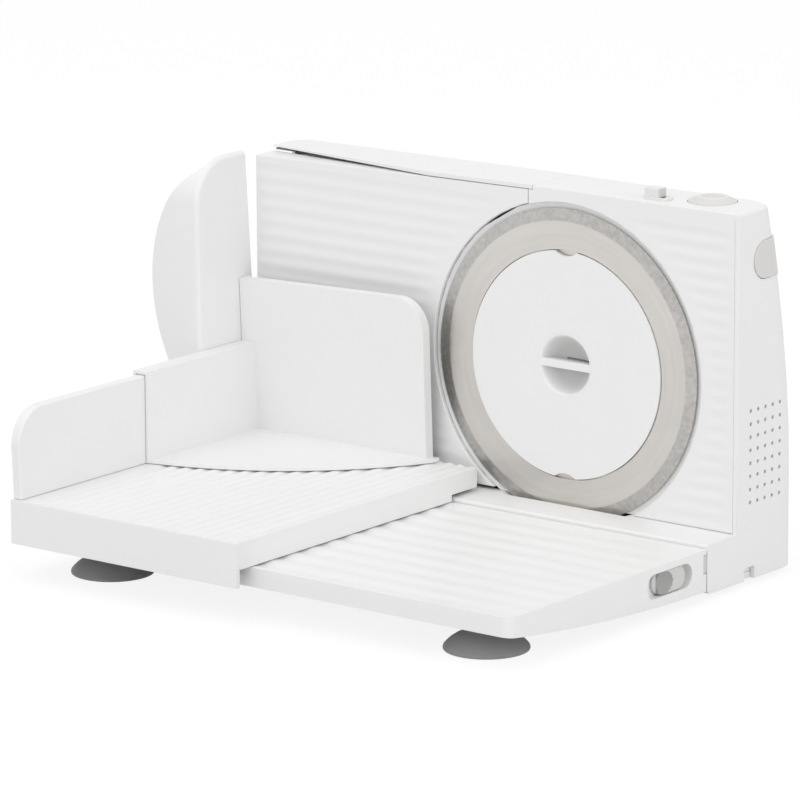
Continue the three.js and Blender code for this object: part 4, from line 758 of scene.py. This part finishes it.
housingShell = {
    **tableWaves, "low": -26.2, "high": -0.6,
    "fade": lambda x, y, z: basePlate["fade"](x, y, z) * ease(-y, 0.6, 10),
    "slotHalf": 42, "slotStep": 6.8, "slotFront": -3, "slotFrontStep": 2.1, "slotBack": 6,
    "slotFloor": 24, "front": 1.0, "edge": 0.5, "corner": 6,
    "seam": -22, "cornerFrom": 94, "endFrom": 100, "rearDepth": 26, "endTop": 190, "endFoot": 36,
}


def inSlot(y, z):
    if not housingShell["slotFloor"] < z < baseTop + near:
        return False
    return housingShell["slotFront"] - near < y < housingShell["slotBack"] + near


def onRoof(z):
    return z > roofTop - near


def onRightEnd(x):
    return abs(x - rightEnd) < near


piece = copyNode("housing_shell")
for sign in (1, -1):
    moveWhere(piece, (-sign * housingShell["slotStep"], 0, 0), lambda x, y, z: (
        abs(x - sign * housingShell["slotHalf"]) < near and inSlot(y, z)))
newHalf = housingShell["slotHalf"] - housingShell["slotStep"]
moveWhere(piece, (0, housingShell["slotFrontStep"], 0), lambda x, y, z: (
    abs(x) < newHalf + near and abs(y - housingShell["slotFront"]) < near and inSlot(y, z)))
roundWhere(piece, housingShell["corner"], lambda x, y, z: (
    onRoof(z) and x > housingShell["cornerFrom"] and y > housingShell["rearDepth"]), segments=6)
roundWhere(piece, housingShell["front"], lambda x, y, z: abs(y) < near and (
    onRoof(z) and x > housingShell["seam"] or onRightEnd(x) and z > baseTop), segments=4)
roundWhere(piece, housingShell["edge"], lambda x, y, z: (
    onRoof(z) and x > housingShell["endFrom"] and y < housingShell["rearDepth"]
    or onRightEnd(x) and not housingShell["endFoot"] <= z <= housingShell["endTop"]))
makeWaves(piece, housingShell)
dress(piece, "housing_shell")


# top cover: its slanted front edge thins out towards the left

topCover = {
    "edge": 0.5, "skirt": 190.4, "seam": -93, "thinner": 1.5, "thinUpTo": -205, "thinBelow": 196.8,
    "slantStart": -92, "slantLength": 121, "slantDepth": 15.5,
}


def onSlant(x, y, z):  # lower edge of the slanted front, near its left end
    front = topCover["slantDepth"] * (topCover["slantStart"] - x) / topCover["slantLength"]
    return x < topCover["thinUpTo"] and abs(y - front) < 0.3 and z < topCover["thinBelow"]


piece = copyNode("top_cover")
moveWhere(piece, (0, 0, topCover["thinner"]), onSlant)
roundWhere(piece, topCover["edge"], lambda x, y, z: z > topCover["skirt"] and (
    x >= topCover["seam"] or y >= topCover["slantDepth"] + 0.5))
dress(piece, "top_cover")


# food holder: fuller edges on the pusher than on the floor

foodHolder = {"edge": 0.5, "upperEdge": 1.1, "floor": 43.6, "upperFrom": 60}
piece = copyNode("food_holder")
roundWhere(piece, foodHolder["upperEdge"], lambda x, y, z: z > foodHolder["upperFrom"])
roundWhere(piece, foodHolder["edge"], lambda x, y, z: (
    foodHolder["floor"] < z < foodHolder["upperFrom"]))
dress(piece, "food_holder")


# side button, hinge tab, bezel and runner: fitted a little closer than in the frame

sideButton = {
    "edge": 0.5, "edgeFrom": 100, "flange": 108,
    "larger": 1.014, "rise": 0.08, "middle": (112, 25.4, 174),
}
piece = copyNode("side_button")
pick(piece, "VERT", lambda vert: spot(vert.co)[0] > sideButton["flange"])
bpy.ops.transform.resize(
    value=(1, sideButton["larger"], sideButton["larger"]), center_override=at(*sideButton["middle"]),
)
bpy.ops.transform.translate(value=(0, 0, sideButton["rise"] * mm))
leaveEdit()
roundWhere(piece, sideButton["edge"], lambda x, y, z: x > sideButton["edgeFrom"])
dress(piece, "side_button", buttonGreyAndPaintedShade)

hingeTab = {"larger": 0.6, "frontStep": 1.2, "left": 106.4, "top": 24.3, "foot": 16.1, "front": -28.1}
piece = copyNode("hinge_tab_right")
moveWhere(piece, (-hingeTab["larger"], 0, 0), lambda x, y, z: x < hingeTab["left"])
moveWhere(piece, (0, 0, hingeTab["larger"]), lambda x, y, z: z > hingeTab["top"])
moveWhere(piece, (0, 0, -hingeTab["larger"]), lambda x, y, z: z < hingeTab["foot"])
moveWhere(piece, (0, -hingeTab["frontStep"], 0), lambda x, y, z: y < hingeTab["front"])
dress(piece, "hinge_tab_right", greyPlastic)

switchBezel = {"edge": 0.35, "lower": 0.28, "foot": 201.4, "rim": 201.2}
piece = copyNode("switch_bezel")
moveWhere(piece, (0, 0, -switchBezel["lower"]), lambda x, y, z: z < switchBezel["foot"])
roundWhere(piece, switchBezel["edge"], lambda x, y, z: z > switchBezel["rim"])
dress(piece, "switch_bezel", keyPlastic)

carriageRunner = {"edge": 0.4, "shorter": 3.4, "foot": 15.2}
piece = copyNode("carriage_runner")
moveWhere(piece, (0, 0, carriageRunner["shorter"]), lambda x, y, z: z < carriageRunner["foot"])
roundWhere(piece, carriageRunner["edge"], lambda x, y, z: True)
dress(piece, "carriage_runner")


# pieces that only need soft edges: millimetres, and the places of the edges

softEdges = {
    "thickness_dial": (0.6, lambda x, y, z: y > 60),
    "bottom_plate": (0.4, lambda x, y, z: z < 4),
}
for nodeName, (edge, where) in softEdges.items():
    piece = copyNode(nodeName)
    roundWhere(piece, edge, where)
    dress(piece, nodeName, whitePlastic)


# slide switch: a longer thumb block close above its bezel, its right end painted grey as painted
# shade

slideSwitch = {
    "edge": 0.5, "block": 202.5, "blockRight": 52.8, "longer": 1.8, "lower": 0.27, "paintedShadeFrom": 55.3,
}
piece = copyNode("slide_switch")
moveWhere(piece, (slideSwitch["longer"], 0, 0), lambda x, y, z: (
    x > slideSwitch["blockRight"] and z > slideSwitch["block"]))
moveWhere(piece, (0, 0, -slideSwitch["lower"]), lambda x, y, z: (
    slideSwitch["block"] < z < slideSwitch["block"] + 0.2))
roundWhere(piece, slideSwitch["edge"], lambda x, y, z: z > slideSwitch["block"])
piece = dress(piece, "slide_switch", keyPlastic)
# painted shade: the right end of the white block is painted grey
paintShadeWhere(piece, greyPlastic, lambda x, y, z: x > slideSwitch["paintedShadeFrom"])


# blade: a turned ring with a hollow middle, its edge cut into fine teeth

blade = {
    "teeth": 351, "toothDepth": 0.7, "stepsPerTooth": 4,
    "toothShape": ((1, 0.45), (2, 1), (3, 0.45)),  # step in the tooth, and its share of the depth
    "profile": [
        (17.9, 2.0), (62.5, 2.0), (62.55, 0.1), (62.75, 0), (77.5, 0), (78.2, 0.05),
        (bladeRadius, 0.9), (bladeRadius, 1.2), (78, 1.3), (64.7, 1.2), (64.2, 3.2), (17.9, 3.2),
        (17.9, 2.0),
    ],
}
bladeSteps = blade["teeth"] * blade["stepsPerTooth"]


def stepInTooth(vert):  # None away from the edge
    x, y, z = spot(vert.co)
    if fromAxis(x, z) < bladeRadius - near:
        return None
    return round(math.atan2(z - bladeZ, x) / (2 * math.pi) * bladeSteps) % blade["stepsPerTooth"]


piece = turnProfile(blade["profile"], bladeCentre, "Y", bladeSteps)
for step, share in blade["toothShape"]:
    pick(piece, "VERT", lambda vert: stepInTooth(vert) == step)
    smaller = 1 - share * blade["toothDepth"] / bladeRadius
    bpy.ops.transform.resize(value=(smaller, 1, smaller), center_override=bladeCentre)
    leaveEdit()
dress(piece, "blade")


# disc in the blade, with a shallow notch above and below

bladeDisc = {
    "radius": 62, "steps": 192,
    "profile": [
        (17.58, 1.7), (61.7, 1.7), (62, 1.4), (62, -0.3), (61.88, -0.58), (61.6, -0.7),
        (17.58, -0.7), (17.58, 1.7),
    ],
    "notchRadius": 11.4, "notchDepth": 2.8,
}
piece = turnProfile(bladeDisc["profile"], bladeCentre, "Y", bladeDisc["steps"])
notchMiddle = bladeDisc["radius"] - bladeDisc["notchDepth"] + bladeDisc["notchRadius"]
for sign in (1, -1):
    notch = addRod(at(0, 0, bladeZ + sign * notchMiddle), bladeDisc["notchRadius"], 12, "Y", 64)
    carve(piece, notch)
dress(piece, "blade_disc")


# lock in the disc: a deep bowl with a grip bar across and a slit beside it

bladeLock = {
    "steps": 96,
    "profile": [
        (0, 5.7), (16.6, 5.7), (17.3, 5.0), (17.5, 4.4), (17.55, -0.7), (17.2, -0.7),
        (16.9, -0.7), (16.5, -0.62), (16.1, -0.35), (15.8, 0.1), (15.4, 1.0), (14.8, 2.1),
        (13.8, 3.2), (12.2, 4.2), (9.8, 4.9), (6.5, 5.25), (3, 5.37), (0, 5.4),
    ],
    "barReach": 16.8, "barHalf": 2.15, "barEdge": 0.4, "barFront": -0.55, "barBack": 5.6,
    "slit": ((-3, 2.2), (12.6, 3.2)), "slitDepth": (2, 8),  # corners right of and above the axis
}
piece = turnProfile(bladeLock["profile"], bladeCentre, "Y", bladeLock["steps"])
bar = addBlock(
    at(-bladeLock["barReach"], bladeLock["barFront"], bladeZ - bladeLock["barHalf"]),
    at(bladeLock["barReach"], bladeLock["barBack"], bladeZ + bladeLock["barHalf"]),
)
roundWhere(bar, bladeLock["barEdge"], lambda x, y, z: y < 0)
carve(piece, bar, "UNION")
(slitLeft, slitLow), (slitRight, slitHigh) = bladeLock["slit"]
slitFront, slitBack = bladeLock["slitDepth"]
carve(piece, addBlock(
    at(slitLeft, slitFront, bladeZ + slitLow), at(slitRight, slitBack, bladeZ + slitHigh)))
# the bowl and the sides of the bar get painted shade, darker the deeper they lie
dress(piece, "blade_lock", bowlPaintedShade)


# suction feet: modelled once, copied to the other side

suctionFoot = {
    "profile": [
        (0, 14.5), (8.2, 14.5), (8.5, 14.2), (8.5, 10.6), (8.9, 9.8), (10.2, 9.1), (13.2, 8.2),
        (16.2, 6.9), (18.9, 5.1), (21.0, 3.1), (22.1, 1.8), (22.3, 1.2), (22.3, 0.5), (22.1, 0.15),
        (21.6, 0), (20.6, 0.1), (18.5, 0.9), (14.5, 2.3), (9.5, 3.4), (4.5, 3.9), (0, 4.0),
    ],
    "steps": 96,
}
leftFoot, rightFoot = "suction_foot_left", "suction_foot_right"
footPlaces = {}
for nodeName in (leftFoot, rightFoot):
    low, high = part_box(nodeName)
    footPlaces[nodeName] = Vector(((low.x + high.x) / 2, (low.y + high.y) / 2, low.z))
piece = turnProfile(suctionFoot["profile"], footPlaces[leftFoot], "Z", suctionFoot["steps"])
other = bpy.data.objects.new("otherFoot", piece.data.copy())
bpy.context.collection.objects.link(other)
other.location = footPlaces[rightFoot] - footPlaces[leftFoot]
dress(piece, leftFoot)
dress(other, rightFoot)


# push button: a cone with a small dished plateau; its flank and dish are painted a darker grey as
# painted shade, so its rim is paler than the rest

pushButton = {
    "profile": [
        (12.98, 201.0), (12.9, 201.25), (12.4, 201.6), (9.4, 203.0), (8.3, 203.55), (7.7, 203.78),
        (7.2, 203.82), (6.7, 203.75), (6.0, 203.4), (4.6, 203.1), (2.4, 203.0), (0, 202.98),
    ],
    "radius": 12.98, "flange": 14, "flangeTop": 198.2, "pocket": 4.5, "pocketDepth": 5, "steps": 96,
    "rim": (6.6, 8.4), "paintedShadeFrom": 201.2,
}
low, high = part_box("push_button")
buttonLow = low.z / mm
pocketTop = buttonLow + pushButton["pocketDepth"]
inside = [
    (0, pocketTop), (pushButton["pocket"], pocketTop), (pushButton["pocket"], buttonLow),
    (pushButton["flange"], buttonLow), (pushButton["flange"], pushButton["flangeTop"]),
    (pushButton["radius"], pushButton["flangeTop"]),
]
buttonMiddle = Vector(((low.x + high.x) / 2, (low.y + high.y) / 2, 0))
buttonX, buttonY = spot(buttonMiddle)[:2]
rimInside, rimOutside = pushButton["rim"]
piece = turnProfile(inside + pushButton["profile"], buttonMiddle, "Z", pushButton["steps"])
piece = dress(piece, "push_button", keyPlastic)
# painted shade: the flank and the dish get the darker grey, and the rim keeps the pale key plastic
paintShadeWhere(piece, buttonGreyAndPaintedShade, lambda x, y, z: (
    pushButton["paintedShadeFrom"] < z and not rimInside < math.hypot(x - buttonX, y - buttonY) < rimOutside))


# latch slider: a pad with a thumb scoop that is deepest at its front, the scoop painted dark as
# painted shade

latchSlider = {
    "face": 110.6, "middle": 17.8, "edge": 0.7, "ribs": 1.45,
    "scoopRadius": 8.5, "scoopStretch": 1.45, "scoopOut": 5.7, "scoopAt": -65, "scoopFront": -67.6,
    "cutLow": (107.7, -72, 10), "cutHigh": (112, -67.4, 26),  # takes the front end off
    "scoopShadeFrom": 107.5, "scoopShadeRear": -54, "scoopShadeHalf": 5.8,
}
piece = copyNode("latch_slider")
flattenRibs(piece, 0, at(latchSlider["face"], 0, 0).x, latchSlider["ribs"])
roundWhere(piece, latchSlider["edge"], lambda x, y, z: x > latchSlider["face"] - close)
deselectAll()
scoopX = latchSlider["face"] + latchSlider["scoopOut"]
bpy.ops.mesh.primitive_uv_sphere_add(
    segments=64, ring_count=32, radius=latchSlider["scoopRadius"] * mm,
    location=at(scoopX, latchSlider["scoopAt"], latchSlider["middle"]),
)
scoop = bpy.context.active_object
scoop.scale = (1, latchSlider["scoopStretch"], 1)
applyPlace()
pickAll(scoop)
bpy.ops.mesh.bisect(
    plane_co=at(0, latchSlider["scoopFront"], 0), plane_no=(0, 1, 0), use_fill=True, clear_inner=True,
)
leaveEdit()
cleanMesh(scoop)
carve(piece, scoop)
carve(piece, addBlock(at(*latchSlider["cutLow"]), at(*latchSlider["cutHigh"])))
piece = dress(piece, "latch_slider")
# painted shade: the faces in the scoop are painted dark grey
paintShadeWhere(piece, scoopPaintedShade, lambda x, y, z: (
    latchSlider["scoopShadeFrom"] < x < latchSlider["face"] - 0.12
    and latchSlider["scoopFront"] - near < y < latchSlider["scoopShadeRear"]
    and abs(z - latchSlider["middle"]) < latchSlider["scoopShadeHalf"]))


# springs (they shorten towards their seats as a button or the latch is pressed): each is copied and
# dressed

springs = {"angle": 60}
for joint in behaviour["joints"]:
    for spring in joint.get("deforming_nodes", []):
        nodeName, letter = spring["node"], spring["mode"][-1]
        piece = dress(copyNode(nodeName), nodeName, angle=springs["angle"])
        low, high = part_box(nodeName)
        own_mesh(piece)


# liner a little behind the cord's notch, and a dark sheet under the cover's left end as painted shade
# there

fillerEdge = 0.2
fillers = {
    # name: (low corner, high corner, finish, slot)
    "notch_liner_moulded": ((107.2, 6.2, 6.95), (108.4, 18, 11.6), whitePlastic, "white_plastic"),
    # painted shade: a dark plastic sheet set where only shade is seen under the cover
    "cover_shadow_sheet_moulded": ((-211.4, 16.8, 195.95), (-199, 31, 196.9), darkPlastic, "dark_plastic"),
}
for name, (low, high, material, slot) in fillers.items():
    piece = addBlock(at(*low), at(*high))
    roundWhere(piece, fillerEdge, lambda x, y, z: True)
    piece.name = name
    piece.data.name = name
    piece.data.materials.append(material)
    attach(piece, bodyOf["housing_shell"])
    print("made", name)


# camera at the photograph's angle: mm, degrees

cameraSettings = {
    "place": (1843.47, -2497.95, 821.12),
    "turn": (76.6675, 0.2068, 37.8308),
    "lens": 269.517,
    "shift": (-0.02242, 0.00376),
    "clip": (0.05, 60),
}
cameraData = bpy.data.cameras.new("photoCamera")
camera = bpy.data.objects.new("photoCamera", cameraData)
bpy.context.collection.objects.link(camera)
camera.location = at(*cameraSettings["place"])
camera.rotation_euler = [math.radians(value) for value in cameraSettings["turn"]]
cameraData.lens = cameraSettings["lens"]
cameraData.sensor_width = 36
cameraData.shift_x, cameraData.shift_y = cameraSettings["shift"]
cameraData.clip_start, cameraData.clip_end = cameraSettings["clip"]
bpy.context.scene.camera = camera


# soft light from three sides, all lamps turned to the middle of the machine

lampTarget = Vector((0, 0, 0.08))
lamps = {
    # name: (place, size in metres, watts)
    "topSoftbox": ((-0.4, -0.6, 2.6), 2.2, 15.6),
    "frontSoftbox": ((0.3, -2.8, 1.5), 2.0, 13.75),
    "rightSoftbox": ((2.8, -0.2, 1.4), 1.8, 16.7),
}
for lampName, (place, size, watts) in lamps.items():
    lampData = bpy.data.lights.new(lampName, "AREA")
    lampData.shape = "SQUARE"
    lampData.size = size
    lampData.energy = watts
    lamp = bpy.data.objects.new(lampName, lampData)
    bpy.context.collection.objects.link(lamp)
    lamp.location = place
    lamp.rotation_euler = (lampTarget - Vector(place)).to_track_quat("-Z", "Y").to_euler()


# white surroundings and a pale floor that keeps the shadow

studio = {
    "sky": 0.69, "floorSize": 24,
    "floorBounce": 0.78, "floorShadow": 0.16, "floorGlow": 0.86,
}


def seenDirectly(tree):  # 1 for camera, mirror and glass rays
    path = tree.nodes.new("ShaderNodeLightPath").outputs
    first = addMath(tree, "MAXIMUM", path["Is Camera Ray"], path["Is Glossy Ray"])
    return addMath(tree, "MAXIMUM", first, path["Is Transmission Ray"])


def addShader(tree, kind, level=1, strength=None):  # a grey of the given level
    shader = tree.nodes.new(kind)
    shader.inputs["Color"].default_value = (level, level, level, 1)
    if strength is not None:
        shader.inputs["Strength"].default_value = strength
    return shader.outputs[0]


def showDirectly(tree, hidden, shown, outputKind):  # one shader for the light, one for the eye
    mix = tree.nodes.new("ShaderNodeMixShader")
    output = tree.nodes.new(outputKind)
    tree.links.new(seenDirectly(tree), mix.inputs["Fac"])
    tree.links.new(hidden, mix.inputs[1])
    tree.links.new(shown, mix.inputs[2])
    tree.links.new(mix.outputs["Shader"], output.inputs["Surface"])


world = bpy.data.worlds.new("studio")
world.use_nodes = True
bpy.context.scene.world = world
sky = world.node_tree
sky.nodes.clear()
ambient = addShader(sky, "ShaderNodeBackground", strength=studio["sky"])
backdrop = addShader(sky, "ShaderNodeBackground", strength=1)
showDirectly(sky, ambient, backdrop, "ShaderNodeOutputWorld")

deselectAll()
bpy.ops.mesh.primitive_plane_add(size=studio["floorSize"], location=(0, 0, 0))
floor = bpy.context.active_object
floor.name = "floor"
floorPaint = bpy.data.materials.new("floorPaint")
floorPaint.use_nodes = True
floorTree = floorPaint.node_tree
floorTree.nodes.clear()
bounce = addShader(floorTree, "ShaderNodeBsdfDiffuse", studio["floorBounce"])
shadow = addShader(floorTree, "ShaderNodeBsdfDiffuse", studio["floorShadow"])
glow = addShader(floorTree, "ShaderNodeEmission", strength=studio["floorGlow"])
lit = floorTree.nodes.new("ShaderNodeAddShader")
floorTree.links.new(glow, lit.inputs[0])
floorTree.links.new(shadow, lit.inputs[1])
showDirectly(floorTree, bounce, lit.outputs["Shader"], "ShaderNodeOutputMaterial")
floor.data.materials.append(floorPaint)
bpy.context.scene.view_settings.view_transform = "Standard"
print("camera, light and floor set")
